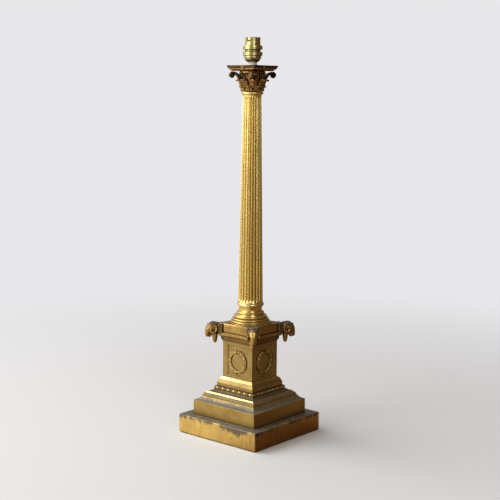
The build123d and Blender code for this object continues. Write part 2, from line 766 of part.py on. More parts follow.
# ================================================================== volutes
# A scroll on a stalk under each corner of the abacus, springing from the bell.
scroll_r = 6.0
scroll_sides = 12
scroll_out = 35.4
scroll_wide = 6.6
scroll_drop = 0.5            # from the abacus to the scroll's top
stalk_top = bell_bands[-2][0]
stalk_low = 22.6             # above the bell's foot, where the stalk leaves the bell
stalk_bend = (28.5, 24.6)    # out, and above the bell's foot
with BuildPart() as volutes:
    for turn in quarter_turns:
        with BuildSketch(side_plane(turn - 45, 0, bell_z)):
            scroll_up = bell_high - scroll_r - scroll_drop
            on_bell = [(bell_r_at(up), up) for up in (bell_high, stalk_top, stalk_low)]
            with Locations((scroll_out, scroll_up)):
                RegularPolygon(scroll_r, scroll_sides)
            Polygon(*on_bell, stalk_bend, (scroll_out, scroll_up), (scroll_out, bell_high),
                    align=None)
        extrude(amount=scroll_wide / 2, both=True)
keep(volutes, "volutes")

# ================================================================== abacus flowers
# A rosette in the middle of each side of the abacus.
flower_r = 4.4
flower_petals = 6
flower_proud = 2.2
flower_reach = abacus_top_side / 2 + flower_proud - bell_bands[-1][1]
with BuildPart() as abacus_flowers:
    for turn in quarter_turns:
        with BuildSketch(side_plane(turn, bell_bands[-1][1], (abacus_z + spacer_z) / 2)):
            for corner in (0, 180 / flower_petals):
                RegularPolygon(flower_r, flower_petals // 2, rotation=corner)
        extrude(amount=flower_reach)
    add(abacus.part, mode=Mode.SUBTRACT)
keep(abacus_flowers, "abacus_flowers")

# ================================================================== spacer
# White plastic collar on the rod, between the capital and the lampholder.
spacer_r = 7.75
with BuildPart() as spacer_collar:
    with BuildSketch(Plane.XY.offset(spacer_z)):
        round_plan(spacer_r, large_sides)
    extrude(amount=spacer_high)
    add(rod_way.part, mode=Mode.SUBTRACT)
keep(spacer_collar, "spacer_collar")

# ================================================================== lampholder: cap and grub screw
# Domed brass cap screwed on the rod's end and locked by a grub screw.
cap_levels = ((0.0, 8.2), (3.5, 11.9), (7.6, 14.2))      # height and radius of the dome
cap_high = 11.3
cap_rim_r = 15.0
cap_floor = 3.3
cap_room_r = 9.0
barrel_r = 13.8              # over its thread
barrel_sides = 32
barrel_in_cap = 2.6
cap_top = holder_z + cap_high
barrel_z = cap_top - barrel_in_cap
grub_r = 1.3
grub_z = holder_z + cap_floor / 2
grub_long = 4.4
with BuildPart() as holder_cap:
    for (low, low_r), (high, high_r) in zip(cap_levels, cap_levels[1:]):
        with Locations((0, 0, holder_z + low)):
            add(flared_band(high - low, low_r, high_r, large_sides))
    with BuildSketch(Plane.XY.offset(holder_z + cap_levels[-1][0])):
        RegularPolygon(cap_rim_r, large_sides)
    extrude(amount=cap_high - cap_levels[-1][0])
    with Locations((0, 0, cap_top)):
        Hole(rod_r + thread_fit)
    with BuildSketch(Plane.XY.offset(cap_top)):
        round_plan(barrel_r + thread_fit, barrel_sides)
    extrude(amount=-barrel_in_cap, mode=Mode.SUBTRACT)
    with BuildSketch(Plane.XY.offset(cap_top)):
        round_plan(cap_room_r, small_sides)
    extrude(amount=cap_floor - cap_high, mode=Mode.SUBTRACT)
    with BuildSketch(side_plane(180, rod_r, grub_z)):
        round_plan(grub_r + thread_fit, small_sides)
    extrude(amount=cap_rim_r, mode=Mode.SUBTRACT)
keep(holder_cap, "holder_cap")

with BuildPart() as grub_screw:
    with BuildSketch(side_plane(180, rod_r + thread_fit, grub_z)):
        round_plan(grub_r, small_sides)
    extrude(amount=grub_long)
keep(grub_screw, "grub_screw")

# ================================================================== lampholder: barrel
# Brass tube, threaded outside for the shade rings, with two bayonet slots in its mouth and a
# shoulder inside that holds the contact block.
lamp_bore_r = 11.2           # takes a 22 mm bayonet cap
barrel_high = 33.6
skirt_r = 13.3
skirt_high = 14.0
block_seat_r = 12.2
slot_wide = 2.8
slot_deep = 7.6
slot_leg = 5.2
slot_catch = 1.3
barrel_top = barrel_z + barrel_high
skirt_z = barrel_top - skirt_high
with BuildPart() as holder_barrel:
    with BuildSketch(Plane.XY.offset(barrel_z)):
        RegularPolygon(barrel_r, barrel_sides)
    extrude(amount=barrel_high - skirt_high)
    with BuildSketch(Plane.XY.offset(skirt_z)):
        RegularPolygon(skirt_r, barrel_sides)
    extrude(amount=skirt_high)
    with Locations((0, 0, barrel_top)):
        Hole(lamp_bore_r)
    with BuildSketch(Plane.XY.offset(barrel_z)):
        round_plan(block_seat_r, large_sides)
    extrude(amount=barrel_high - skirt_high, mode=Mode.SUBTRACT)
    for turn in (90, 270):
        with BuildSketch(side_plane(turn, lamp_bore_r - 2, barrel_top)):
            with Locations((0, -slot_deep / 2)):
                Rectangle(slot_wide, slot_deep)
            with Locations((slot_leg / 2, -slot_deep + slot_wide / 2)):
                Rectangle(slot_leg + slot_wide, slot_wide)
            with Locations((slot_leg, -slot_deep + slot_wide + slot_catch / 2)):
                Rectangle(slot_wide, slot_catch)
        extrude(amount=skirt_r, mode=Mode.SUBTRACT)
keep(holder_barrel, "holder_barrel")

# ================================================================== lampholder: contact block
# Moulded insulator clamped under the barrel's shoulder, dished round its two contacts.
dish_deep = 4.4
dish_r = 10.4
contact_pitch = 10.4
sleeve_r = 2.9
terminal_r = 1.3
terminal_up = 3.4
terminal_recess = 1.0
dish_z = skirt_z - dish_deep
terminal_seat = contact_pitch / 2 + sleeve_r
with BuildPart() as contact_block:
    with BuildSketch(Plane.XY.offset(barrel_z)):
        round_plan(block_seat_r - thread_fit, large_sides)
    extrude(amount=skirt_z - barrel_z)
    with BuildSketch(Plane.XY.offset(skirt_z)):
        round_plan(dish_r, large_sides)
    extrude(amount=-dish_deep, mode=Mode.SUBTRACT)
    with BuildSketch(Plane.XY.offset(barrel_z)):
        with GridLocations(contact_pitch, 1, 2, 1):
            round_plan(sleeve_r + thread_fit, small_sides)
    extrude(amount=dish_z - barrel_z, mode=Mode.SUBTRACT)
    for turn in (0, 180):
        with BuildSketch(side_plane(turn, contact_pitch / 2, barrel_z + terminal_up)):
            round_plan(terminal_r + thread_fit, small_sides)
        extrude(amount=block_seat_r, mode=Mode.SUBTRACT)
keep(contact_block, "contact_block")

with BuildPart() as terminal_screws:
    for turn in (0, 180):
        with BuildSketch(side_plane(turn, terminal_seat, barrel_z + terminal_up)):
            round_plan(terminal_r, small_sides)
        extrude(amount=block_seat_r - terminal_seat - terminal_recess)
keep(terminal_screws, "terminal_screws")

# ================================================================== lampholder: contacts
# In each brass sleeve a plunger stands on a coil spring and is held in by the turned-in mouth.
sleeve_floor = 1.0
sleeve_wall = 0.65
sleeve_lip = 0.8
sleeve_proud = 0.4
plunger_foot_high = 3.2
plunger_tip_r = 1.7
plunger_proud = 3.7          # above the sleeve
spring_wire = 0.4
spring_coils = 4
spring_corners = 8           # of each coil
sleeve_top = dish_z + sleeve_proud
sleeve_bore_r = sleeve_r - sleeve_wall
plunger_top = sleeve_top + plunger_proud
foot_top = sleeve_top - sleeve_lip - rest_gap
foot_low = foot_top - plunger_foot_high
spring_low = barrel_z + sleeve_floor
with BuildPart() as contact_sleeves:
    with BuildSketch(Plane.XY.offset(barrel_z)):
        with GridLocations(contact_pitch, 1, 2, 1):
            round_plan(sleeve_r, small_sides)
    extrude(amount=sleeve_top - barrel_z)
    with BuildSketch(Plane.XY.offset(spring_low)):
        with GridLocations(contact_pitch, 1, 2, 1):
            round_plan(sleeve_bore_r, small_sides)
    extrude(amount=sleeve_top - sleeve_lip - spring_low, mode=Mode.SUBTRACT)
    with BuildSketch(Plane.XY.offset(foot_low)):
        with GridLocations(contact_pitch, 1, 2, 1):
            round_plan(plunger_tip_r + slide_fit, small_sides)
    extrude(amount=sleeve_top - foot_low, mode=Mode.SUBTRACT)
keep(contact_sleeves, "contact_sleeves")

spring_high = foot_low - spring_low
coil_r = sleeve_bore_r - spring_wire
coil_rise = (spring_high - 2 * spring_wire) / (spring_coils * spring_corners)
for hand, side in (("right", 1), ("left", -1)):
    x = side * contact_pitch / 2
    with BuildPart() as plunger:
        with BuildSketch(Plane.XY.offset(foot_low)):
            with Locations((x, 0)):
                round_plan(sleeve_bore_r - slide_fit, small_sides)
        extrude(amount=plunger_foot_high)
        with BuildSketch(Plane.XY.offset(foot_top)):
            with Locations((x, 0)):
                round_plan(plunger_tip_r, small_sides)
        extrude(amount=plunger_top - foot_top)
    keep(plunger, f"contact_plunger_{hand}")

    coil = []
    for corner in range(spring_coils * spring_corners + 1):
        angle = 2 * pi * corner / spring_corners
        coil.append(Vector(x + coil_r * cos(angle), coil_r * sin(angle),
                           spring_low + spring_wire + corner * coil_rise))
    with BuildPart() as spring:
        with BuildLine():
            Polyline(*coil)
        with BuildSketch(Plane(origin=coil[0], x_dir=(1, 0, 0), z_dir=coil[1] - coil[0])):
            Rectangle(spring_wire, spring_wire)
        sweep(transition=Transition.RIGHT)
    keep(spring, f"contact_spring_{hand}")

# ================================================================== shade rings
# Two knurled brass rings on the barrel's thread; a shade's carrier is clamped between them.
lower_ring_r = 17.2
lower_ring_high = 6.0
upper_ring_r = 16.6
upper_ring_high = 6.7
flange_r = 17.15
flange_high = 3.6
shade_gap = 4.3              # between the rings, open as the lamp stands
ring_bore_r = barrel_r + slide_fit
lower_ring_z = cap_top + rest_gap
upper_ring_z = lower_ring_z + lower_ring_high + shade_gap
with BuildPart() as lower_shade_ring:
    with BuildSketch(Plane.XY.offset(lower_ring_z)):
        RegularPolygon(lower_ring_r, barrel_sides)
        RegularPolygon(ring_bore_r, barrel_sides, major_radius=False, mode=Mode.SUBTRACT)
    extrude(amount=lower_ring_high)
keep(lower_shade_ring, "lower_shade_ring")

with BuildPart() as upper_shade_ring:
    for low, high, r in ((0, flange_high, flange_r), (flange_high, upper_ring_high, upper_ring_r)):
        with BuildSketch(Plane.XY.offset(upper_ring_z + low)):
            RegularPolygon(r, barrel_sides)
            RegularPolygon(ring_bore_r, barrel_sides, major_radius=False, mode=Mode.SUBTRACT)
        extrude(amount=high - low)
keep(upper_shade_ring, "upper_shade_ring")
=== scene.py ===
from math import atan2, cos, degrees, hypot, pi, radians, sin

import bmesh
import bpy
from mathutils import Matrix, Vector


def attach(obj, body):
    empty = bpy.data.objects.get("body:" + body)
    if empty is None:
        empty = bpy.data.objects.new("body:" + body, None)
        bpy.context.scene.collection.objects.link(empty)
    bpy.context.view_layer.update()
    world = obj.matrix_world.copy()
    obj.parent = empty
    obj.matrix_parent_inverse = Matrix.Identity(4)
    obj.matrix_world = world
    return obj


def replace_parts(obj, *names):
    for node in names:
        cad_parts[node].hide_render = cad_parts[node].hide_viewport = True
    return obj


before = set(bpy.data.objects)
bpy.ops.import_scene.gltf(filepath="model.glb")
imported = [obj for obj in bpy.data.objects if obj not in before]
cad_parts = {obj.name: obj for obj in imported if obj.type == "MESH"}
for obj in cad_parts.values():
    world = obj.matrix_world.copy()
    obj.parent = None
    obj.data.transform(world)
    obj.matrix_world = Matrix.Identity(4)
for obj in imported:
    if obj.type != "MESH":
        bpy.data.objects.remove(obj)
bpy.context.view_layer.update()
bpy.ops.object.select_all(action="DESELECT")

# ------------------------------------------------------------------ camera
# A short telephoto lens on a stand a little above the pedestal, turned to the lamp's front
# right corner and looking slightly down.
camera_turn = radians(40.6)
camera_far = 1.914
camera_high = 0.598
camera_side = -0.0016
camera_down = radians(8.0)
camera_roll = radians(0.5)
bpy.ops.object.camera_add()
camera = bpy.context.object
camera.data.lens = 78.94
camera.data.sensor_width = 36.0
right = Vector((cos(camera_turn), sin(camera_turn), 0))
back = Vector((sin(camera_turn), -cos(camera_turn), 0))
camera.location = back * camera_far + right * camera_side + Vector((0, 0, camera_high))
camera.rotation_euler = (pi / 2 - camera_down, 0, camera_turn)
camera.rotation_euler.rotate_axis("Z", camera_roll)
bpy.context.scene.camera = camera


# ------------------------------------------------------------------ studio
# A wide pale floor that runs into a pale wall without a line, under three soft lamps. The camera alone
# sees them pale.
# Other rays see the floor with painted shade, brown and darker away from the lamps, so brass reflects
# brown below;
# the room is darker to the back right.
def add_node(tree, kind, inputs=(), **settings):
    """Adds a shader node, and gives inputs by name or number a value or what feeds them."""
    node = tree.nodes.new("ShaderNode" + kind)
    for name, value in settings.items():
        setattr(node, name, value)
    for socket, value in dict(inputs).items():
        if isinstance(value, bpy.types.NodeSocket):
            tree.links.new(value, node.inputs[socket])
        else:
            node.inputs[socket].default_value = value
    return node


def ramp_of(tree, source, stops):
    """A colour ramp through (position, colour) stops."""
    node = add_node(tree, "ValToRGB", {"Fac": source})
    ramp = node.color_ramp.elements
    ramp.remove(ramp[1])
    for k, (position, shade) in enumerate(stops):
        stop = ramp.new(position) if k else ramp[0]
        stop.position = position
        stop.color = (*shade, 1)
    return node.outputs["Color"]


bpy.context.scene.view_settings.view_transform = "Standard"
wall_paint = (0.805, 0.80, 0.82, 1)
floor_paint = (0.76, 0.755, 0.75, 1)
painted_shade_brown = (0.10, 0.026, 0.008)
away_from_lamps = (0.78, 0.62, 0.0)
bpy.ops.mesh.primitive_plane_add(size=9.0)
floor = bpy.context.object
floor.name = "studio_floor"
pale_floor = bpy.data.materials.new("pale_floor")
pale_floor.use_nodes = True
floor.data.materials.append(pale_floor)
paint = pale_floor.node_tree
paint_shader = paint.nodes["Principled BSDF"]
paint_shader.inputs["Roughness"].default_value = 0.7
floor_place = add_node(paint, "TexCoord").outputs["Object"]
floor_far = add_node(paint, "VectorMath", {0: floor_place}, operation="LENGTH").outputs["Value"]
run_out = add_node(paint, "MapRange", {"Value": floor_far, "From Min": 0.15, "From Max": 1.6},
                   interpolation_type="SMOOTHSTEP").outputs["Result"]
# Painted shade: for all but camera rays the floor turns brown and darker on the side away from the lamps.
floor_side = add_node(paint, "VectorMath", {0: floor_place, 1: away_from_lamps},
                      operation="DOT_PRODUCT").outputs["Value"]
painted_floor_shade = add_node(paint, "MapRange", {"Value": floor_side, "From Min": -0.10,
                                          "From Max": 0.40}).outputs["Result"]
floor_tone_with_painted_shade = ramp_of(paint, painted_floor_shade, ((0.0, (0.78, 0.72, 0.60)), (0.24, painted_shade_brown),
                                         (0.52, painted_shade_brown), (0.74, (0.30, 0.20, 0.12))))
by_camera = add_node(paint, "LightPath").outputs["Is Camera Ray"]
floor_shade = add_node(paint, "MixRGB", {"Fac": by_camera, "Color1": floor_tone_with_painted_shade, "Color2": floor_paint})
paint.links.new(floor_shade.outputs["Color"], paint_shader.inputs["Base Color"])
seen_far = add_node(paint, "Math", {0: run_out, 1: by_camera}, operation="MULTIPLY").outputs[0]
wall_light = add_node(paint, "Emission", {"Color": wall_paint}).outputs[0]
floor_or_wall = add_node(paint, "MixShader", {0: seen_far, 1: paint_shader.outputs[0], 2: wall_light})
paint.links.new(floor_or_wall.outputs[0], paint.nodes["Material Output"].inputs["Surface"])

world = bpy.data.worlds.new("studio_room")
bpy.context.scene.world = world
world.use_nodes = True
room = world.node_tree
looking = add_node(room, "TexCoord").outputs["Generated"]
facing = add_node(room, "VectorMath", {0: looking, 1: away_from_lamps}, operation="DOT_PRODUCT")
from_lamps = add_node(room, "MapRange", {"Value": facing.outputs["Value"], "From Min": -1.0,
                                         "From Max": 1.0})
room_tone = ramp_of(room, from_lamps.outputs["Result"], (
    (0.08, (0.98, 0.97, 0.96)), (0.45, (0.40, 0.40, 0.41)), (0.74, (0.15, 0.105, 0.068))))
wall_seen = add_node(room, "MixRGB", {"Fac": add_node(room, "LightPath").outputs["Is Camera Ray"],
                                      "Color1": room_tone, "Color2": wall_paint})
room.links.new(wall_seen.outputs["Color"], room.nodes["Background"].inputs["Color"])
room.nodes["Background"].inputs["Strength"].default_value = 1.0

lit_at = Vector((0, 0, 0.3))
for name, where, size, watts in (
        ("window_light", (-0.85, -2.1, 1.05), 1.5, 25.0),
        ("side_light", (1.95, -1.1, 1.2), 0.7, 10.0),
        ("high_light", (-1.6, -0.65, 1.9), 1.4, 30.0)):
    bpy.ops.object.light_add(type="AREA", location=where)
    studio_lamp = bpy.context.object
    studio_lamp.name = name
    studio_lamp.data.size = size
    studio_lamp.data.energy = watts
    studio_lamp.rotation_euler = (Vector(where) - lit_at).to_track_quat("Z", "Y").to_euler()

# ------------------------------------------------------------------ baize pad
# Green cloth, cut square and glued under the plinth, so that the lamp stands on it. Its short nap
# is a fine noise in its colour and its surface.
mm = 0.001


def noise_of(tree, source, scale, detail=4.0, roughness=0.55):
    return add_node(tree, "TexNoise", {"Vector": source, "Scale": scale, "Detail": detail,
                                       "Roughness": roughness}).outputs["Fac"]


def range_of(tree, source, low, high, low_value=0.0, high_value=1.0):
    return add_node(tree, "MapRange", {"Value": source, "From Min": low, "From Max": high,
                                       "To Min": low_value, "To Max": high_value},
                    interpolation_type="SMOOTHSTEP").outputs["Result"]


def blend_of(tree, share, first, second):
    return add_node(tree, "MixRGB", {"Fac": share, "Color1": first, "Color2": second}).outputs["Color"]


def raised_by(tree, height, strength, depth):
    """Raises the surface of a finish by a height, with its depth in mm."""
    raised = add_node(tree, "Bump", {"Height": height, "Strength": strength, "Distance": depth * mm})
    tree.links.new(raised.outputs["Normal"], tree.nodes["Principled BSDF"].inputs["Normal"])


def plain_finish(name, light, dark, roughness, metal=0.0, scale=300.0, bump=0.3):
    """A finish of two close shades in a fine noise, which also roughens and raises the surface."""
    finish = bpy.data.materials.new(name)
    finish.use_nodes = True
    tree = finish.node_tree
    shader = tree.nodes["Principled BSDF"]
    shader.inputs["Metallic"].default_value = metal
    place = add_node(tree, "TexCoord").outputs["Object"]
    mottle = noise_of(tree, place, scale)
    shade = blend_of(tree, range_of(tree, mottle, 0.35, 0.65), (*light, 1), (*dark, 1))
    tree.links.new(shade, shader.inputs["Base Color"])
    rough = range_of(tree, mottle, 0.2, 0.8, roughness - 0.06, roughness + 0.08)
    tree.links.new(rough, shader.inputs["Roughness"])
    raised_by(tree, noise_of(tree, place, 4 * scale, 2.0), bump, 0.2)
    return finish


def dress(finish, *nodes):
    """Puts a finish on CAD nodes whose own shape stays in view."""
    for name in nodes:
        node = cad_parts[name]
        if not node.material_slots:
            node.data.materials.append(finish)
        for slot in node.material_slots:
            slot.material = finish


dress(plain_finish("green_baize", (0.025, 0.07, 0.03), (0.012, 0.04, 0.018), 0.9, scale=900.0, bump=0.8),
      "baize_pad")


# ------------------------------------------------------------------ lower plinth
# A square cast tray of brass, filed and lacquered long ago. The lacquer has gone: the faces are
# clouded and streaked with brown, the handled edges are rubbed bright and the ledges are grey
# with old dust. A grey stain hangs near the right of the front.
def plus(tree, first, second):
    return add_node(tree, "Math", {0: first, 1: second}, operation="ADD", use_clamp=True).outputs[0]


def times(tree, first, second):
    return add_node(tree, "Math", {0: first, 1: second}, operation="MULTIPLY", use_clamp=True).outputs[0]


ageing_and_shade = bpy.data.node_groups.new("brass_ageing_and_shade", "ShaderNodeTree")
for way, kind, names in (("INPUT", "Color", ("Gold", "Brown", "Deep", "Rubbed", "Dust")),
                         ("INPUT", "Float", ("Clouding", "Crevice", "Rub", "Dust Amount", "Shine")),
                         ("OUTPUT", "Color", ("Color",)),
                         ("OUTPUT", "Float", ("Roughness", "Metal", "Height"))):
    for name in names:
        ageing_and_shade.interface.new_socket(name=name, in_out=way, socket_type="NodeSocket" + kind)
given = ageing_and_shade.nodes.new("NodeGroupInput").outputs
result = ageing_and_shade.nodes.new("NodeGroupOutput").inputs
place = add_node(ageing_and_shade, "TexCoord").outputs["Object"]
form = add_node(ageing_and_shade, "NewGeometry").outputs
cloudy = noise_of(ageing_and_shade, place, 34.0, 5.0, 0.6)
blotchy = noise_of(ageing_and_shade, place, 170.0, 4.0)
fine = noise_of(ageing_and_shade, place, 1100.0, 3.0)
# Patina and painted shade: ambient occlusion finds hollows and corners, which the crevice amount darkens
# towards the deep colour.
hollow = add_node(ageing_and_shade, "AmbientOcclusion", {"Distance": 7 * mm}, samples=8).outputs["AO"]
corner = add_node(ageing_and_shade, "AmbientOcclusion", {"Distance": 1.6 * mm}, samples=8).outputs["AO"]
crevice = plus(ageing_and_shade, range_of(ageing_and_shade, hollow, 0.35, 0.90, 1.0, 0.0),
               range_of(ageing_and_shade, corner, 0.45, 0.90, 0.75, 0.0))
rounded = add_node(ageing_and_shade, "Bevel", {"Radius": 0.9 * mm}, samples=6).outputs["Normal"]
edge_turn = add_node(ageing_and_shade, "VectorMath", {0: rounded, 1: form["Normal"]}, operation="DOT_PRODUCT")
edge = range_of(ageing_and_shade, edge_turn.outputs["Value"], 0.90, 0.995, 1.0, 0.0)
open_edge = times(ageing_and_shade, edge, range_of(ageing_and_shade, hollow, 0.75, 0.95))
patches = plus(ageing_and_shade, times(ageing_and_shade, cloudy, 0.8), times(ageing_and_shade, blotchy, 0.2))
patches = range_of(ageing_and_shade, patches, 0.38, 0.64)
clouded = times(ageing_and_shade, patches, given["Clouding"])
deepened = times(ageing_and_shade, crevice, given["Crevice"])
rubbed = times(ageing_and_shade, open_edge, given["Rub"])
rubbed = times(ageing_and_shade, rubbed, range_of(ageing_and_shade, blotchy, 0.34, 0.56, 0.45, 1.0))
upward = add_node(ageing_and_shade, "SeparateXYZ", {0: form["True Normal"]}).outputs["Z"]
settled = times(ageing_and_shade, range_of(ageing_and_shade, upward, 0.30, 0.85), given["Dust Amount"])
settled = times(ageing_and_shade, settled, range_of(ageing_and_shade, blotchy, 0.36, 0.56, 0.70, 1.0))
colour = given["Gold"]
for share, shade in ((clouded, "Brown"), (settled, "Dust"), (deepened, "Deep"), (rubbed, "Rubbed")):
    colour = blend_of(ageing_and_shade, share, colour, given[shade])
ageing_and_shade.links.new(colour, result["Color"])
rough = plus(ageing_and_shade, given["Shine"], times(ageing_and_shade, clouded, 0.14))
rough = plus(ageing_and_shade, rough, times(ageing_and_shade, plus(ageing_and_shade, settled, deepened), 0.30))
rough = plus(ageing_and_shade, rough, times(ageing_and_shade, fine, 0.08))
ageing_and_shade.links.new(rough, result["Roughness"])
bare = add_node(ageing_and_shade, "Math", {0: 1.0, 1: times(ageing_and_shade, settled, 0.8)}, operation="SUBTRACT",
                use_clamp=True)
ageing_and_shade.links.new(bare.outputs[0], result["Metal"])
ageing_and_shade.links.new(plus(ageing_and_shade, times(ageing_and_shade, blotchy, 0.6), times(ageing_and_shade, fine, 0.4)), result["Height"])


def aged_and_shaded_brass(name, clouding, crevice, rub, dusty, shine, bump=0.22, gold=(0.60, 0.375, 0.10),
               brown=(0.30, 0.165, 0.045), deep=(0.035, 0.016, 0.006), rubbed=(0.80, 0.60, 0.24),
               dust=(0.17, 0.145, 0.10)):
    """A brass finish: the ageing and painted-shade group with this piece's own amounts and shades, on a
    metal shader.
    """
    finish = bpy.data.materials.new(name)
    finish.use_nodes = True
    tree = finish.node_tree
    shader = tree.nodes["Principled BSDF"]
    shades = {"Gold": gold, "Brown": brown, "Deep": deep, "Rubbed": rubbed, "Dust": dust}
    amounts = {"Clouding": clouding, "Crevice": crevice, "Rub": rub, "Dust Amount": dusty, "Shine": shine}
    aged_and_shaded = tree.nodes.new("ShaderNodeGroup")
    aged_and_shaded.node_tree = ageing_and_shade
    for socket, shade in shades.items():
        aged_and_shaded.inputs[socket].default_value = (*shade, 1)
    for socket, amount in amounts.items():
        aged_and_shaded.inputs[socket].default_value = amount
    for output, socket in (("Color", "Base Color"), ("Roughness", "Roughness"), ("Metal", "Metallic")):
        tree.links.new(aged_and_shaded.outputs[output], shader.inputs[socket])
    raised_by(tree, aged_and_shaded.outputs["Height"], bump, 0.35)
    return finish


def modified(piece, kind, **settings):
    """Puts a modifier on a piece and applies it."""
    modifier = piece.modifiers.new("worked", kind)
    for name, value in settings.items():
        setattr(modifier, name, value)
    bpy.context.view_layer.objects.active = piece
    bpy.ops.object.modifier_apply(modifier=modifier.name)


def soften(piece, width):
    """Rounds a casting's edges over by a width in mm."""
    modified(piece, "BEVEL", width=width * mm, segments=2, limit_method="ANGLE", angle_limit=radians(28))


def take(piece):
    """Makes a piece the one in hand."""
    bpy.ops.object.select_all(action="DESELECT")
    piece.select_set(True)
    bpy.context.view_layer.objects.active = piece


def finished(name, finish, smooth, *nodes, body="lamp"):
    """Names the piece in hand, gives it its finish and lets it stand for CAD nodes."""
    piece = bpy.context.object
    piece.name = name
    bpy.ops.object.transform_apply(location=True, rotation=True, scale=True)
    bpy.ops.object.shade_smooth_by_angle(angle=radians(smooth))
    modified(piece, "WEIGHTED_NORMAL", keep_sharp=True)
    piece.data.materials.clear()
    piece.data.materials.append(finish)
    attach(piece, body)
    if nodes:
        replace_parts(piece, *nodes)
    return piece


def copy_of(source, place=(0, 0, 0), turn=(0, 0, 0)):
    """Another of a piece, with its own mesh, moved in mm and turned."""
    copy = source.copy()
    copy.data = source.data.copy()
    bpy.context.collection.objects.link(copy)
    copy.location = Vector(place) * mm
    copy.rotation_euler = turn
    return copy


def softened_copy(node, finish, width):
    """A copy of a CAD node, merged and with its edges rounded over, which stands for it."""
    take(copy_of(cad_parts[node]))
    bpy.ops.object.mode_set(mode="EDIT")
    bpy.ops.mesh.select_all(action="SELECT")
    bpy.ops.mesh.remove_doubles(threshold=1e-6)
    bpy.ops.mesh.dissolve_limited(angle_limit=radians(1))
    bpy.ops.object.mode_set(mode="OBJECT")
    soften(bpy.context.object, width)
    return finished(node + "_softened", finish, 40, node)


def stretched(tree, along=1.0):
    """Object coordinates, with the heights scaled."""
    place = add_node(tree, "TexCoord").outputs["Object"]
    return add_node(tree, "Mapping", {"Vector": place, "Scale": (1, 1, along)}).outputs["Vector"]


def overlay(finish, share, colour):
    """Lays a colour over a finish's own by a mask in its tree."""
    tree = finish.node_tree
    socket = tree.nodes["Principled BSDF"].inputs["Base Color"]
    tree.links.new(blend_of(tree, share, socket.links[0].from_socket, (*colour, 1)), socket)


plinth_brass = aged_and_shaded_brass("plinth_brass", clouding=0.55, crevice=0.85, rub=0.55, dusty=0.95, shine=0.27,
                          gold=(0.80, 0.56, 0.18), brown=(0.52, 0.33, 0.10), dust=(0.155, 0.145, 0.115))
plinth_tree = plinth_brass.node_tree
streaks = noise_of(plinth_tree, stretched(plinth_tree, 0.10), 420.0, 3.0)
streaks = times(plinth_tree, range_of(plinth_tree, streaks, 0.50, 0.70), 0.55)
overlay(plinth_brass, streaks, (0.40, 0.23, 0.06))
stain_top = (52 * mm, -89.5 * mm, 33 * mm)
up = add_node(plinth_tree, "SeparateXYZ", {0: stretched(plinth_tree)}).outputs["Z"]
from_top = add_node(plinth_tree, "VectorMath", {0: stretched(plinth_tree), 1: stain_top},
                    operation="DISTANCE").outputs["Value"]
hang = plus(plinth_tree, range_of(plinth_tree, up, 16 * mm, 36 * mm, 0.0, 0.34),
            noise_of(plinth_tree, stretched(plinth_tree, 0.6), 60.0, 5.0, 0.65))
hang = plus(plinth_tree, hang, range_of(plinth_tree, from_top, 4 * mm, 30 * mm, 0.24, 0.0))
stain = times(plinth_tree, range_of(plinth_tree, hang, 0.68, 0.86), 0.9)
overlay(plinth_brass, stain, (0.125, 0.115, 0.09))
softened_copy("lower_plinth", plinth_brass, 0.6)

# ------------------------------------------------------------------ hidden fittings of the plinth
# Steel plate and screws under the tray, the cast-iron ballast inside it, the rod with its nut
# and washer that draw the lamp together, and the rubber grommet for the flex.
dress(plain_finish("sheet_steel", (0.34, 0.34, 0.35), (0.22, 0.22, 0.23), 0.38, 1.0), "base_plate")
dress(plain_finish("screw_steel", (0.42, 0.42, 0.43), (0.25, 0.24, 0.23), 0.30, 1.0),
      "base_plate_screws", "tie_rod_nut", "tie_rod_washer", "ram_head_bolts", "grub_screw")
dress(plain_finish("rod_steel", (0.38, 0.38, 0.39), (0.20, 0.19, 0.18), 0.34, 1.0), "tie_rod")
dress(plain_finish("cast_iron", (0.055, 0.052, 0.05), (0.02, 0.018, 0.017), 0.75, 0.4, 160.0, 0.9),
      "ballast_block")
dress(plain_finish("black_rubber", (0.022, 0.022, 0.022), (0.012, 0.012, 0.012), 0.62), "flex_grommet")

# ------------------------------------------------------------------ upper plinth
# The second cast step, smaller and a little browner than the first. It stands on the tray and is
# clamped by the rod.
step_brass = aged_and_shaded_brass("step_brass", clouding=0.65, crevice=0.85, rub=0.45, dusty=0.95, shine=0.28,
                        gold=(0.47, 0.32, 0.10), brown=(0.31, 0.195, 0.07), dust=(0.13, 0.125, 0.10))
softened_copy("upper_plinth", step_brass, 0.6)


# ------------------------------------------------------------------ plinth moulding
# A square moulding cast in one and stood on the upper plinth: a hollow weathering, a fillet, an
# upright face and a slope. The top of the slope is rubbed bright with a painted highlight, and the
# hollow over it is sooty and darkened as painted shade.
def face_out():
    """Turns all faces outwards and leaves edit mode."""
    bpy.ops.mesh.select_all(action="SELECT")
    bpy.ops.mesh.normals_make_consistent(inside=False)
    bpy.ops.object.mode_set(mode="OBJECT")


def carry(rows):
    """Carries the ring in edit mode through (distance, height) rows and back to the first."""
    distance, height = rows[0]
    for next_distance, next_height in rows[1:] + rows[:1]:
        rise = (0, 0, (next_height - height) * mm)
        bpy.ops.mesh.extrude_region_move(TRANSFORM_OT_translate={"value": rise})
        grow = next_distance / distance
        bpy.ops.transform.resize(value=(grow, grow, 1), center_override=(0, 0, 0))
        distance, height = next_distance, next_height
    bpy.ops.mesh.select_all(action="SELECT")
    bpy.ops.mesh.remove_doubles(threshold=2e-6)
    face_out()


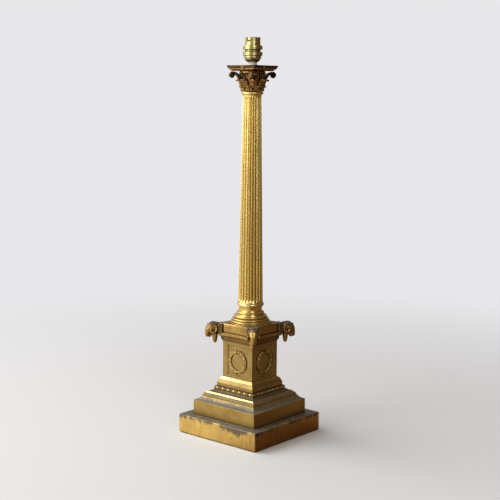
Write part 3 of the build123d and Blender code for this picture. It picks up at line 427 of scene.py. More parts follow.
def ring(around, distance, height):
    """Starts a ring in edit mode; with four points it is a square whose sides lie at the distance."""
    reach, turn = (2 ** 0.5, pi / 4) if around == 4 else (1, 0)
    bpy.ops.object.select_all(action="DESELECT")
    bpy.ops.mesh.primitive_circle_add(vertices=around, radius=distance * mm * reach,
                                      location=(0, 0, height * mm), rotation=(0, 0, turn))
    bpy.ops.object.transform_apply(location=True, rotation=True)
    bpy.ops.object.mode_set(mode="EDIT")
    bpy.ops.mesh.select_mode(type="VERT")
    bpy.ops.mesh.select_all(action="SELECT")


def squared(rows, width):
    """A square casting whose section runs through (distance, height) rows, with softened edges."""
    ring(4, *rows[0])
    carry(rows)
    soften(bpy.context.object, width)


def arc(start, middle_out, end, steps=5):
    """Rows of a curved face between two (distance, height) points, bulging by a distance."""
    along = hypot(end[0] - start[0], end[1] - start[1])
    out = ((end[1] - start[1]) / along, -(end[0] - start[0]) / along)
    rows = []
    for step in range(steps + 1):
        share = step / steps
        bulge = middle_out * sin(pi * share)
        rows.append(tuple(start[k] + (end[k] - start[k]) * share + out[k] * bulge for k in (0, 1)))
    return rows


def choose(test, kind="VERT"):
    """Selects the vertices or faces in edit mode whose middle passes a test."""
    bpy.ops.mesh.select_mode(type=kind)
    mesh = bmesh.from_edit_mesh(bpy.context.object.data)
    if kind == "VERT":
        for corner in mesh.verts:
            corner.select = test(corner.co)
    else:
        for face in mesh.faces:
            face.select = test(face.calc_center_median())
    mesh.select_flush_mode()
    bmesh.update_edit_mesh(bpy.context.object.data)


def band(low, high, beyond):
    """A test for what lies between two heights and further out than a distance, in mm."""
    return lambda point: low * mm < point.z < high * mm and max(abs(point.x), abs(point.y)) > beyond * mm


def refinish(piece, finish, test):
    """Gives the faces of a piece that pass a test a finish of their own."""
    piece.data.materials.append(finish)
    bpy.ops.object.mode_set(mode="EDIT")
    choose(test, "FACE")
    piece.active_material_index = len(piece.data.materials) - 1
    bpy.ops.object.material_slot_assign()
    bpy.ops.object.mode_set(mode="OBJECT")


rod_hole = 5.6
moulding_rows = [(rod_hole, 59.0)] + arc((70.35, 59.05), -1.3, (60.6, 66.2))
moulding_rows += [(60.6, 67.1), (59.2, 67.3), (59.0, 67.6), (59.0, 70.4), (58.6, 70.8)]
moulding_rows += [(57.9, 71.2), (56.1, 72.3), (55.7, 72.7), (53.2, 74.8)]
moulding_rows += arc((52.4, 74.9), -0.4, (46.4, 78.2), 4) + [(46.2, 78.5), (rod_hole, 78.5)]
squared(moulding_rows, 0.35)
moulding = finished("plinth_moulding_cast", step_brass, 35, "plinth_moulding")
# Brighter clean brass: rub and a painted highlight, on the beads, the eggs and the foot's splay.
rubbed_and_highlit_brass = aged_and_shaded_brass("rubbed_and_highlit_brass", clouding=0.30, crevice=0.6, rub=0.1, dusty=0.0, shine=0.22,
                          gold=(0.68, 0.48, 0.17))
refinish(moulding, rubbed_and_highlit_brass, band(72.9, 74.7, 52))
# Darker sooty brass that is also painted shade, for the slope's hollow, the egg band and the cornice's
# cove.
soot_and_shade_brass = aged_and_shaded_brass("soot_and_shade_brass", clouding=0.7, crevice=0.9, rub=0.3, dusty=0.9, shine=0.30,
                         gold=(0.26, 0.165, 0.055), brown=(0.13, 0.075, 0.03), dust=(0.085, 0.07, 0.045))
refinish(moulding, soot_and_shade_brass, band(74.7, 78.45, 46))


# ------------------------------------------------------------------ egg strip
# A narrow square band cast with seven eggs on each side, each in its shell, with darts between.
# It lies under the pedestal's foot.
def sphere(place, size, segments=12, rings=8):
    """A sphere drawn out to its half sizes along X, Y and Z, in mm."""
    bpy.ops.mesh.primitive_uv_sphere_add(segments=segments, ring_count=rings, radius=mm,
                                         location=Vector(place) * mm, scale=size)
    bpy.ops.object.transform_apply(location=True, scale=True)
    return bpy.context.object


def torus(place, radius, tube, turn=(0, pi / 2, 0), stretch=(1, 1), segments=20):
    """A ring of round wire, which faces along X unless it is turned, and may be stretched."""
    bpy.ops.mesh.primitive_torus_add(major_radius=radius * mm, minor_radius=tube * mm, rotation=turn,
                                     location=Vector(place) * mm, major_segments=segments,
                                     minor_segments=6)
    bpy.context.object.scale = (*stretch, 1)
    bpy.ops.object.transform_apply(location=True, rotation=True, scale=True)
    return bpy.context.object


def join(pieces):
    """Joins pieces into the first of them."""
    bpy.ops.object.select_all(action="DESELECT")
    for piece in pieces:
        piece.select_set(True)
    bpy.context.view_layer.objects.active = pieces[0]
    bpy.ops.object.join()
    bpy.ops.object.transform_apply(location=True, rotation=True, scale=True)
    return bpy.context.object


def four_round(source):
    """A piece and its copies a quarter, a half and three quarters round the lamp, joined."""
    return join([source] + [copy_of(source, turn=(0, 0, radians(turn))) for turn in (90, 180, 270)])


egg_pitch = 12.77
egg_z = 81.4
few_faces = (8, 6)                                       # segments and rings of a small sphere
egg = join([sphere((43.9, 0, egg_z), (1.6, 3.3, 2.1)),
            torus((44.2, 0, egg_z), 3.5, 0.5, stretch=(0.74, 1.2)),
            sphere((44.2, egg_pitch / 2, egg_z), (1.0, 0.8, 2.5), *few_faces)])
four_round(join([egg] + [copy_of(egg, (0, k * egg_pitch, 0)) for k in (-3, -2, -1, 1, 2, 3)]))
# The eggs take the brighter brass: rub and a painted highlight.
eggs = finished("eggs_cast", rubbed_and_highlit_brass, 60)
# The band behind the eggs takes the sooty brass: soot and painted shade between them.
squared([(rod_hole, 78.5), (44.9, 78.5), (44.9, 78.9), (44.1, 79.2), (43.9, 83.4), (44.4, 83.7),
         (44.4, 84.3), (rod_hole, 84.3)], 0.2)
strip = finished("egg_strip_cast", soot_and_shade_brass, 35)
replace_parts(join([strip, eggs]), "egg_strip")

# ------------------------------------------------------------------ pedestal foot and die
# The foot is a square casting with a splay, rubbed bright along its top and painted there with a
# highlight. The die above it is a hollow cast box with a sunk panel on each side.
die_brass = aged_and_shaded_brass("die_brass", clouding=0.65, crevice=1.0, rub=0.45, dusty=0.5, shine=0.32,
                       gold=(0.40, 0.28, 0.10), brown=(0.25, 0.16, 0.055), dust=(0.12, 0.11, 0.085))
squared([(rod_hole, 84.3), (41.7, 84.3), (41.7, 91.2), (41.3, 91.7), (38.9, 97.3), (38.5, 97.8),
         (34.4, 101.3), (34.2, 102.0), (rod_hole, 102.0)], 0.25)
foot = finished("pedestal_foot_cast", die_brass, 35, "pedestal_foot")
# The top of the splay takes the brighter brass: rub and a painted highlight.
refinish(foot, rubbed_and_highlit_brass, band(98.0, 101.4, 34))
softened_copy("pedestal_die", die_brass, 0.45)

# ------------------------------------------------------------------ laurel wreaths
# A cast wreath on each panel: two branches of leaves and berries that rise from a tie to meet at
# the top. Two tongues behind it are peened inside the die.
ornament_brass = aged_and_shaded_brass("ornament_brass", clouding=0.60, crevice=1.0, rub=1.0, dusty=0.25,
                            shine=0.24, gold=(0.62, 0.42, 0.14), rubbed=(0.88, 0.68, 0.30))
wreath_r = 18.1
wreath_x = 33.5
wreath_z = 132.6
tie_z = wreath_z - wreath_r
leaf_steps = 13
leaf_splay = radians(27)
leaf = sphere((0, 0, 0), (1.8, 3.5, 1.25), *few_faces)
berry = sphere((0, 0, 0), (1.2, 1.3, 1.3), *few_faces)
garland = [torus((wreath_x - 0.1, 0, wreath_z), wreath_r, 1.0, segments=64)]


def on_wreath(source, branch, r, along, proud, lean):
    """A leaf or berry on a branch, leaning as it does on the right one."""
    place = (wreath_x + proud, branch * r * cos(along), wreath_z + r * sin(along))
    garland.append(copy_of(source, place, (lean if branch == 1 else pi - lean, 0, 0)))


for branch in (1, -1):
    for step in range(leaf_steps):
        along = radians(-80 + 158 * step / (leaf_steps - 1))
        for row in (1, -1):
            on_wreath(leaf, branch, wreath_r + 1.6 * row, along, 0, along + pi / 2 - leaf_splay * row)
        on_wreath(berry if step % 2 else leaf, branch, wreath_r, along, 0.65, along + pi / 2)
for k in (-1, 0, 1):
    garland.append(torus((wreath_x - 0.5, 1.1 * k, tie_z), 1.8, 0.5, turn=(pi / 2, 0, 0), segments=12))
for side in (1, -1):
    loop = torus((wreath_x, 2.4 * side, tie_z - 1.0), 1.5, 0.45, stretch=(0.75, 1.25), segments=12)
    garland.append(loop)
for spare in (leaf, berry):
    bpy.data.objects.remove(spare)
wreath = join(garland)
for node, turn in (("wreath_right", 0), ("wreath_rear", 90), ("wreath_left", 180), ("wreath_front", 270)):
    take(copy_of(wreath, turn=(0, 0, radians(turn))))
    finished(node + "_cast", ornament_brass, 60, node)
bpy.data.objects.remove(wreath)

# ------------------------------------------------------------------ cornice
# A cast cornice with hollow sides, which the die carries: a small moulding and cove that are sooty and
# painted with shade under the fascia, a narrow gold fascia and a set-back face that is sooty up to the
# top.
casting_brass = aged_and_shaded_brass("casting_brass", clouding=0.75, crevice=1.0, rub=0.8, dusty=0.75, shine=0.25,
                           gold=(0.46, 0.295, 0.09), brown=(0.24, 0.14, 0.045),
                           dust=(0.14, 0.125, 0.095))
cornice = softened_copy("cornice", casting_brass, 0.35)
# The bed moulding and the cove under the fascia take the sooty brass: soot and painted shade under the
# overhang.
refinish(cornice, soot_and_shade_brass, band(168.0, 177.9, 33))


# ------------------------------------------------------------------ ram's heads
# Four cast heads, one bolted to each corner of the cornice: a long muzzle, coiled and ridged
# horns, a woolly crown and neck, and a drop of wool below. Each was one casting, chased by hand.
def drawn(sections, around=12):
    """A closed body through (x, y, z, half width, half height, heading) sections, in mm and degrees."""
    bpy.ops.object.select_all(action="DESELECT")
    x, y, z, wide, high, heading = sections[0]
    centre = Vector((x, y, z)) * mm
    bpy.ops.mesh.primitive_circle_add(vertices=around, radius=mm, fill_type="NGON", location=centre,
                                      rotation=(0, pi / 2, 0))
    bpy.ops.object.transform_apply(location=True, rotation=True)
    bpy.ops.object.mode_set(mode="EDIT")
    bpy.ops.mesh.select_mode(type="VERT")
    bpy.ops.mesh.select_all(action="SELECT")
    bpy.ops.transform.resize(value=(1, wide, high), center_override=centre)
    bpy.ops.transform.rotate(value=radians(heading), orient_axis="Y", center_override=centre)
    for x, y, z, next_wide, next_high, next_heading in sections[1:]:
        step = Vector((x, y, z)) * mm - centre
        centre += step
        bpy.ops.mesh.extrude_region_move(TRANSFORM_OT_translate={"value": step})
        bpy.ops.transform.rotate(value=-radians(heading), orient_axis="Y", center_override=centre)
        bpy.ops.transform.resize(value=(1, next_wide / wide, next_high / high), center_override=centre)
        bpy.ops.transform.rotate(value=radians(next_heading), orient_axis="Y", center_override=centre)
        wide, high, heading = next_wide, next_high, next_heading
    face_out()
    return bpy.context.object


def mirrored(source):
    """The same piece on the other side of the head."""
    copy = copy_of(source)
    copy.scale.y = -1
    return copy


def press(place, reach, push):
    """Presses a soft-edged dent into the mesh in edit mode round a place, in mm."""
    centre = Vector(place) * mm
    for share in (1.0, 0.75, 0.5):
        choose(lambda point: (point - centre).length < reach * share * mm)
        bpy.ops.transform.translate(value=Vector(push) * mm / 3)


head_brass = aged_and_shaded_brass("head_brass", clouding=0.75, crevice=1.0, rub=1.0, dusty=0.85, shine=0.24,
                        gold=(0.54, 0.35, 0.10), brown=(0.20, 0.10, 0.035), dust=(0.10, 0.088, 0.068))
wool_and_shade_brass = aged_and_shaded_brass("wool_and_shade_brass", clouding=0.8, crevice=1.0, rub=0.7, dusty=0.9, shine=0.32,
                        gold=(0.22, 0.14, 0.06), brown=(0.10, 0.06, 0.03), rubbed=(0.50, 0.34, 0.13),
                        dust=(0.10, 0.09, 0.07))
head_low = 166.0
skull = drawn([(55.8, 0, head_low + 22.0, 7.6, 8.8, 8), (61.5, 0, head_low + 25.2, 8.6, 9.8, 12),
               (67.0, 0, head_low + 26.4, 8.6, 9.8, -4), (71.8, 0, head_low + 24.2, 7.8, 8.8, -34),
               (74.6, 0, head_low + 19.8, 6.4, 6.2, -58), (75.7, 0, head_low + 15.6, 5.0, 4.9, -76),
               (76.0, 0, head_low + 12.2, 4.6, 4.4, -88), (75.8, 0, head_low + 9.7, 4.2, 3.8, -94),
               (75.4, 0, head_low + 8.2, 2.8, 2.5, -98)], around=20)
jaw = drawn([(66.5, 0, head_low + 17, 4.0, 4.4, -50), (70.3, 0, head_low + 12.4, 3.3, 3.1, -56),
             (72.4, 0, head_low + 9.0, 2.9, 2.3, -66), (73.2, 0, head_low + 7.2, 2.0, 1.5, -70)],
            around=16)
wool_drop = drawn([(61.5, 0, head_low + 20, 6.2, 4.6, -86), (62.4, 0, head_low + 12, 5.4, 4.8, -88),
                   (62.7, 0, head_low + 6, 5.0, 4.6, -90), (62.8, 0, head_low + 1.4, 4.0, 3.8, -90),
                   (62.6, 0, head_low - 1.6, 2.8, 2.6, -90), (62.6, 0, head_low - 2.6, 1.4, 1.4, -90)],
                  around=16)
horn_steps = 46
horn_start, horn_sweep = 66, 400
horn_curl, horn_closing = 8.9, 6.2
horn_root, horn_spread = 5.2, 5.6
horn_wide, horn_high, wide_loss, high_loss = 3.3, 2.9, 2.0, 1.9
horn_x, horn_z = 66.8, head_low + 22.6
horn_rows = []
for step in range(horn_steps + 1):
    share = step / horn_steps
    turn = radians(horn_start + horn_sweep * share)
    curl = horn_curl - horn_closing * share ** 0.8
    ridge = 1.0 + (0.10 if step % 3 == 0 else -0.04)
    place = (horn_x + curl * cos(turn), horn_root + horn_spread * share ** 0.7, horn_z + curl * sin(turn))
    horn_rows.append((*place, (horn_wide - wide_loss * share) * ridge,
                      (horn_high - high_loss * share) * ridge, degrees(turn) + 90))
horn = drawn(horn_rows, around=14)
ear = drawn([(66.0, 8.0, head_low + 21.5, 1.0, 1.3, -10), (68.6, 9.6, head_low + 21.0, 1.0, 1.7, -12),
             (71.2, 10.4, head_low + 20.0, 0.8, 1.2, -25), (72.6, 10.6, head_low + 19.2, 0.3, 0.4, -30)],
            around=8)
eye_z = head_low + 24.0
eye = sphere((72.6, 6.0, eye_z), (1.45, 1.2, 1.3))
eyelid = torus((72.7, 6.3, eye_z), 1.75, 0.5, turn=(pi / 2, 0, radians(28)), stretch=(1.15, 0.85))
brow = drawn([(69.5, 5.6, head_low + 27.6, 1.2, 1.0, -14), (72.8, 5.4, head_low + 26.8, 1.3, 0.9, -30),
              (75.2, 4.4, head_low + 24.4, 0.8, 0.6, -50)], around=8)
nostril_wing = sphere((78.2, 2.6, head_low + 11.6), (1.5, 1.3, 1.7))
parts = [skull, jaw, wool_drop]
for one in (horn, ear, eye, eyelid, brow, nostril_wing):
    parts += [one, mirrored(one)]
# Tufts of wool: down the drop, over the crown and the neck, and as a mane beside the cornice.
for row, girth in enumerate((5.4, 5.4, 5.0, 4.4, 3.5, 2.4)):
    for turn in range(-90, 91, 45):
        a = radians(turn + (22 if row % 2 else 0))
        tuft = (62.5 + 0.78 * girth * cos(a), girth * sin(a), head_low + (15.0 - 3.2 * row))
        parts.append(sphere(tuft, (1.35, 1.35, 1.7), *few_faces))
for row, x in enumerate((57.5, 60.5, 63.5, 66.5, 69.2)):
    for turn in range(20, 161, 28):
        a = radians(turn + (14 if row % 2 else 0))
        tuft = (x, 7.6 * cos(a), head_low + (24.6 + 0.4 * row) + (8.8 - 0.45 * row) * sin(a))
        parts.append(sphere(tuft, (1.5, 1.6, 1.5), *few_faces))
for side in (1, -1):
    for column in range(2):
        for row in range(4):
            tuft = (55.2 - 3.8 * column, side * (6.4 + 2.2 * column),
                    head_low + 15.5 + 4.3 * row + 2.0 * column)
            parts.append(sphere(tuft, (3.2, 2.6, 3.0), *few_faces))
head = join(parts)
bpy.ops.object.mode_set(mode="EDIT")
face_out()
modified(head, "REMESH", mode="VOXEL", voxel_size=0.45 * mm)
modified(head, "SMOOTH", factor=0.5, iterations=2)
bpy.ops.object.mode_set(mode="EDIT")
for side in (1, -1):
    press((80.0, 1.7 * side, head_low + 11.4), 1.25, (-1.2, 0, 0.3))          # nostril
    press((73.9, 7.3 * side, eye_z), 0.7, (-0.4, -0.5 * side, 0))             # pupil
    for k in range(4):                                                        # mouth
        press((77.6 - 1.25 * k, 3.9 * side, head_low + 9.0 + 0.5 * k), 1.0, (0, -0.8 * side, 0))
press((79.9, 0, head_low + 9.0), 0.9, (-0.8, 0, 0.2))
bpy.ops.object.mode_set(mode="OBJECT")
# The neck beside the cornice and the crown take a darker brass: dark wool and painted shade where the
# head meets the cornice.
neck_out, crown_out, crown_low = 61.0, 72.0, head_low + 30.0


def wool_and_shade_region(point):
    out = hypot(point.x, point.y)
    return out < neck_out * mm or out < crown_out * mm and point.z > crown_low * mm


for node, turn in (("ram_head_rear_right", 45), ("ram_head_rear_left", 135), ("ram_head_front_left", 225),
                   ("ram_head_front_right", 315)):
    take(copy_of(head, turn=(0, 0, radians(turn))))
    refinish(finished(node + "_cast", head_brass, 60, node), wool_and_shade_brass, wool_and_shade_region)
bpy.data.objects.remove(head)


# ------------------------------------------------------------------ column base
# A round turned base: a flat disc and four beads that step in to the column's neck. It stands on
# the cornice and carries the shaft.
def turned(rows, around=96):
    """A round casting whose outline runs through (radius, height) rows and back to the first."""
    ring(around, *rows[0])
    carry(rows)


def bead(radius, low, high, proud, steps=8):
    """Rows of a half round bead between two heights."""
    middle, half = (low + high) / 2, (high - low) / 2
    return [(radius + proud * sin(pi * step / steps), middle - half * cos(pi * step / steps))
            for step in range(steps + 1)]


column_brass = aged_and_shaded_brass("column_brass", clouding=0.35, crevice=0.35, rub=0.0, dusty=0.30, shine=0.23,
                          bump=0.02, gold=(0.74, 0.515, 0.16), brown=(0.48, 0.30, 0.085),
                          deep=(0.10, 0.05, 0.015))
base_rows = [(rod_hole, 199.0), (36.6, 199.0), (37, 199.4), (37, 200.8), (36.6, 201.1)]
base_rows += bead(33.6, 201.3, 204.5, 1.4) + bead(31.0, 204.9, 208.6, 1.7)
base_rows += [(29.0, 208.9)] + bead(27.4, 209.2, 213.8, 2.1)
base_rows += [(25.2, 214.1), (24.6, 216.0)] + bead(22.5, 216.3, 220.0, 2.1)
base_rows += [(21.2, 220.5), (20.4, 222.2), (20.2, 225.0), (20.6, 228.0), (21.2, 229.5),
              (rod_hole, 229.5)]
turned(base_rows)
finished("column_base_turned", column_brass, 35, "column_base")

# ------------------------------------------------------------------ fluted shaft
# A hollow casting that tapers upwards, with twenty-four flutes whose ends are rounded, a bead at
# its foot and another at its neck. Its lands are rubbed brighter and carry a painted highlight, and
# the floors of its flutes are tarnished darker and painted with shade.
flutes = 24
strokes = 12
flute_low = 238.6
flute_high = 597.6
shaft_low, shaft_high = 236.6, 600.0
foot_r, neck_r = 21.9, 15.85
end_step, long_step = 1.2, 12.0
shaft_rows = [(rod_hole, 229.5)] + bead(foot_r, 229.6, 235.8, 1.9) + [(foot_r, shaft_low)]
shaft_rows += [(foot_r + (neck_r - foot_r) * (z - shaft_low) / (shaft_high - shaft_low), z) for z in
               [237.4 + k * end_step for k in range(6)] + [250 + k * long_step for k in range(28)]
               + [586 + k * end_step for k in range(11)]]
shaft_rows += [(15.9, 599.4)] + bead(17.0, 600.2, 605.3, 2.2) + [(rod_hole, 605.5)]
turned(shaft_rows, flutes * strokes)


def stroke_of(point):
    """How many strokes a point lies past the middle of the land before it."""
    return degrees(atan2(point.y, point.x)) % (360 / flutes) / (360 / flutes) * strokes


flute_depth = 0.085                                      # of the radius
stretches = ((flute_low + 4, flute_high - 4, 1.0), (flute_low + 1.5, flute_low + 4, 0.8),
             (flute_low - 1, flute_low + 1.5, 0.4), (flute_high - 4, flute_high - 1.5, 0.8),
             (flute_high - 1.5, flute_high + 1, 0.4))    # the depth eases out at both ends
bpy.ops.object.mode_set(mode="EDIT")
for stroke in range(2, strokes - 1):
    depth = sin(pi * (stroke - 1) / (strokes - 2)) ** 0.6
    for low, high, ease in stretches:
        choose(lambda point: abs(stroke_of(point) - stroke) < 0.3 and low * mm <= point.z < high * mm)
        shrink = 1 - flute_depth * depth * ease
        bpy.ops.transform.resize(value=(shrink, shrink, 1), center_override=(0, 0, 0))
bpy.ops.object.mode_set(mode="OBJECT")
# Lighter brass on the lands is rub and painted highlight; darker brass in the flutes is tarnish and
# painted shade.
rubbed_and_highlit_land_brass = aged_and_shaded_brass("rubbed_and_highlit_land_brass", clouding=0.40, crevice=0.0, rub=0.0, dusty=0.30, shine=0.22,
                        bump=0.0, gold=(0.90, 0.70, 0.26), brown=(0.66, 0.45, 0.13))
tarnished_and_shaded_flute_brass = aged_and_shaded_brass("tarnished_and_shaded_flute_brass", clouding=0.50, crevice=0.0, rub=0.0, dusty=0.0, shine=0.24,
                         bump=0.0, gold=(0.60, 0.41, 0.11), brown=(0.34, 0.20, 0.05))
shaft = finished("fluted_shaft_cast", rubbed_and_highlit_land_brass, 45, "fluted_shaft")
refinish(shaft, tarnished_and_shaded_flute_brass, lambda point: 2.6 < stroke_of(point) < strokes - 1.6
         and (flute_low + 2) * mm < point.z < (flute_high - 2) * mm)

# ------------------------------------------------------------------ capital bell
# The turned core of the Corinthian capital, which flares to a lip under the abacus. It stands on
# the shaft's neck and carries the leaves and the volutes.
capital_brass = aged_and_shaded_brass("capital_brass", clouding=0.85, crevice=1.0, rub=1.0, dusty=0.45, shine=0.25,
                           gold=(0.44, 0.25, 0.075), brown=(0.16, 0.07, 0.022),
                           deep=(0.018, 0.009, 0.005), rubbed=(0.86, 0.62, 0.24),
                           dust=(0.07, 0.055, 0.035))
bell_rows = [(rod_hole, 605.5), (17.4, 605.5), (17.8, 607), (18.2, 612), (18.6, 618), (19.4, 625),
             (20.6, 631), (21.6, 635.5)]
turned(bell_rows + bead(21.4, 636.0, 640.0, 1.2, 6) + [(20, 640.5), (rod_hole, 640.5)])
finished("capital_bell_cast", capital_brass, 35, "capital_bell")

# ------------------------------------------------------------------ acanthus leaves
# Two rings of eight leaves brazed to the bell. Each leaf has a proud rib, grooves between its
# lobes and a tip that curls out and over.
leaf_columns = 12
leaf_grooves = (1.0, 0.2, -0.7, 0.5, -0.7, 0.4, -0.6)    # from the rib out to the edge
leaf_lobes = 0.14
leaf_thick = 2.6


def leaf_sheet(path, proud):
    """A leaf that faces +X: a sheet whose rows follow (distance, height, half width) steps."""
    bpy.ops.object.select_all(action="DESELECT")
    rows, columns = len(path), leaf_columns
    bpy.ops.mesh.primitive_grid_add(x_subdivisions=rows - 1, y_subdivisions=columns, size=1.0,
                                    rotation=(0, -pi / 2, 0))
    bpy.ops.object.transform_apply(rotation=True)
    bpy.ops.object.mode_set(mode="EDIT")
    for column in range(columns + 1):
        across = -0.5 + column / columns
        choose(lambda point: abs(point.y - across) < 0.3 / columns)
        groove = leaf_grooves[abs(column - columns // 2)]
        bpy.ops.transform.translate(value=((proud * (1 - 4 * across * across) + groove) * mm, 0, 0))
    lift = 10                                            # keeps placed rows clear of the rest
    for row, (distance, height, half) in enumerate(path):
        along = -0.5 + row / (rows - 1)
        choose(lambda point: abs(point.z - along) < 0.2 / rows)
        edge = 1 + leaf_lobes if row % 3 else 1 - 2 * leaf_lobes
        bpy.ops.transform.resize(value=(1, 2 * half * edge * mm, 1), center_override=(0, 0, 0))
        bpy.ops.transform.translate(value=(distance * mm, 0, height * mm - along + lift))
    bpy.ops.mesh.select_all(action="SELECT")
    bpy.ops.transform.translate(value=(0, 0, -lift))
    face_out()
    modified(bpy.context.object, "SOLIDIFY", thickness=leaf_thick * mm, offset=0)
    modified(bpy.context.object, "SUBSURF", levels=1, render_levels=1)
    return bpy.context.object


def eight_round(source, first):
    """Eight of a piece round the lamp, the first of them turned by some degrees."""
    copies = [copy_of(source, turn=(0, 0, radians(first + 45 * k))) for k in range(8)]
    bpy.data.objects.remove(source)
    return join(copies)


lower_leaf = [(17.6, 605.6, 5.6), (17.9, 607.2, 6.4), (18.1, 608.8, 6.0), (18.3, 610.4, 6.3),
              (18.7, 612.0, 5.6), (19.4, 613.4, 5.4), (20.4, 614.4, 4.6), (21.5, 614.6, 4.2),
              (22.3, 613.7, 3.4), (22.3, 612.3, 2.0)]
eight_round(leaf_sheet(lower_leaf, proud=1.3), first=22.5)
finished("lower_leaves_cast", capital_brass, 60, "lower_leaves")
upper_leaf = [(18.0, 612.0, 5.6), (18.6, 614.5, 6.8), (19.0, 616.6, 6.4), (19.4, 618.8, 7.0),
              (19.9, 620.8, 6.2), (20.7, 622.8, 6.2), (21.8, 624.4, 5.6), (23.4, 625.4, 5.2),
              (25.0, 625.4, 4.4), (26.0, 624.2, 3.4), (26.0, 622.6, 2.0)]
eight_round(leaf_sheet(upper_leaf, proud=1.6), first=0)
finished("upper_leaves_cast", capital_brass, 60, "upper_leaves")

# ------------------------------------------------------------------ volutes
# A ribbon of brass at each corner that springs from the bell and curls under the abacus, with a
# smaller pair that turns inwards on each side. They are brazed to the bell.
volute_brass = aged_and_shaded_brass("volute_brass", clouding=0.85, crevice=1.0, rub=0.9, dusty=0.45, shine=0.25,
                          gold=(0.15, 0.085, 0.032), brown=(0.06, 0.03, 0.015),
                          deep=(0.012, 0.007, 0.005), rubbed=(0.86, 0.62, 0.24), dust=(0.05, 0.04, 0.03))


def coil(x, z, start, sweep, radius, closing, steps, ribbon):
    """Sections of a ribbon that coils in round a point; ribbon gives its half sizes at each share."""
    rows = []
    for step in range(steps + 1):
        turn = start - sweep * step / steps
        curl = radius - closing * step / steps
        place = (x + curl * cos(radians(turn)), 0, z + curl * sin(radians(turn)))
        rows.append((*place, *ribbon(step / steps), turn - 90))
    return rows


scroll_x, scroll_z = 35.2, 633.4
stalk = [(19.6, 0, 621.5, 3.0, 3.0, 82), (21.2, 0, 626.5, 3.8, 3.4, 70), (23.8, 0, 631.0, 4.6, 3.4, 54),
         (27.2, 0, 634.8, 5.4, 3.0, 34), (31.2, 0, 637.0, 6.0, 2.4, 14)]
stalk += coil(scroll_x, scroll_z, start=90, sweep=560, radius=4.7, closing=3.0, steps=30,
              ribbon=lambda share: (6.2 - 0.8 * share, 1.7 - 0.6 * share))
corner_scroll = join([drawn(stalk, around=10), sphere((scroll_x, 0, scroll_z), (2.3, 6.2, 2.3))])
corner_scroll.rotation_euler.z = radians(45)
bpy.ops.object.transform_apply(rotation=True)
inner = []
inner_out, inner_side = 23.6, 16.0
for side in (1, -1):
    small = drawn([(18.5, 0, 626.0, 1.2, 0.6, 84)]
                  + coil(21.5, 633.6, start=180, sweep=430, radius=3.4, closing=2.4, steps=21,
                         ribbon=lambda share: (1.3, 0.6)), around=8)
    small.rotation_euler.z = radians(90)
    small.location = Vector((inner_out, -inner_side * side, 0)) * mm
    small.scale.x = side
    inner.append(small)
four_round(join([corner_scroll] + inner))
bpy.ops.object.mode_set(mode="EDIT")
face_out()
finished("volutes_cast", volute_brass, 50, "volutes")

# ------------------------------------------------------------------ abacus and its flowers
# The capital's top: a slab with hollow sides and cut corners, with a bright bead low on its edge
# and a dark rim. A flower of six petals is seated in the middle of each side.
abacus_brass = aged_and_shaded_brass("abacus_brass", clouding=0.9, crevice=1.0, rub=0.45, dusty=0.8, shine=0.28,
                          gold=(0.20, 0.095, 0.03), brown=(0.10, 0.045, 0.016), dust=(0.07, 0.055, 0.04))
dark_edge = aged_and_shaded_brass("dark_edge", clouding=0.7, crevice=0.9, rub=0.3, dusty=0.6, shine=0.34,
                       gold=(0.085, 0.055, 0.028), brown=(0.045, 0.028, 0.016),
                       dust=(0.05, 0.045, 0.035))
bead_low, bead_high, bead_proud, rim_low, rim_high = 643.6, 644.6, 0.5, 646.9, 650.2
hole_clear = 15


def on_edge(low, high):
    """A test for the slab's faces between two heights that aren't in its hole."""
    return lambda point: low * mm < point.z < high * mm and hypot(point.x, point.y) > hole_clear * mm


abacus = softened_copy("abacus", abacus_brass, 0.3)
bpy.ops.object.mode_set(mode="EDIT")
for height in (bead_low, bead_high, rim_low):
    bpy.ops.mesh.select_all(action="SELECT")
    bpy.ops.mesh.bisect(plane_co=(0, 0, height * mm), plane_no=(0, 0, 1))
bpy.ops.object.mode_set(mode="OBJECT")
# The bead takes the brighter brass: rub and a painted highlight.
refinish(abacus, rubbed_and_highlit_brass, on_edge(bead_low, bead_high))
bpy.ops.object.mode_set(mode="EDIT")
bpy.ops.transform.shrink_fatten(value=bead_proud * mm)
bpy.ops.object.mode_set(mode="OBJECT")
refinish(abacus, dark_edge, on_edge(rim_low, rim_high))
flower_z = 645.1
petal_r = 2.3
petals = [sphere((26.4, petal_r * cos(radians(turn)), flower_z + petal_r * sin(radians(turn))),
                 (0.9, 1.35, 1.35), 10, 6) for turn in range(30, 390, 60)]
petals += [sphere((27.0, 0, flower_z), (1.15, 1.2, 1.2)), sphere((26.0, 0, flower_z), (1.0, 3.2, 3.2))]
four_round(join(petals))
finished("abacus_flowers_cast", capital_brass, 60, "abacus_flowers")

# ------------------------------------------------------------------ spacer
# A white plastic collar with two grooves, threaded on the rod between the abacus and the
# lampholder.
collar_plastic = plain_finish("white_nylon", (0.72, 0.71, 0.68), (0.62, 0.60, 0.56), 0.45, scale=120.0,
                              bump=0.1)
turned([(rod_hole, 650.0), (7.4, 650.0), (7.75, 650.4), (7.75, 651.8), (7.4, 652.2), (7.4, 653.0),
        (7.75, 653.4), (7.75, 654.8), (7.4, 655.2), (rod_hole, 655.2)], 64)
finished("spacer_collar_turned", collar_plastic, 35, "spacer_collar")

# ------------------------------------------------------------------ lampholder: cap
# A pressed and turned cap of lacquered brass: a dome that screws on the rod, with a knurled rim
# that screws on the barrel.
knurl_out = 14.4
knurl_depth = 0.006


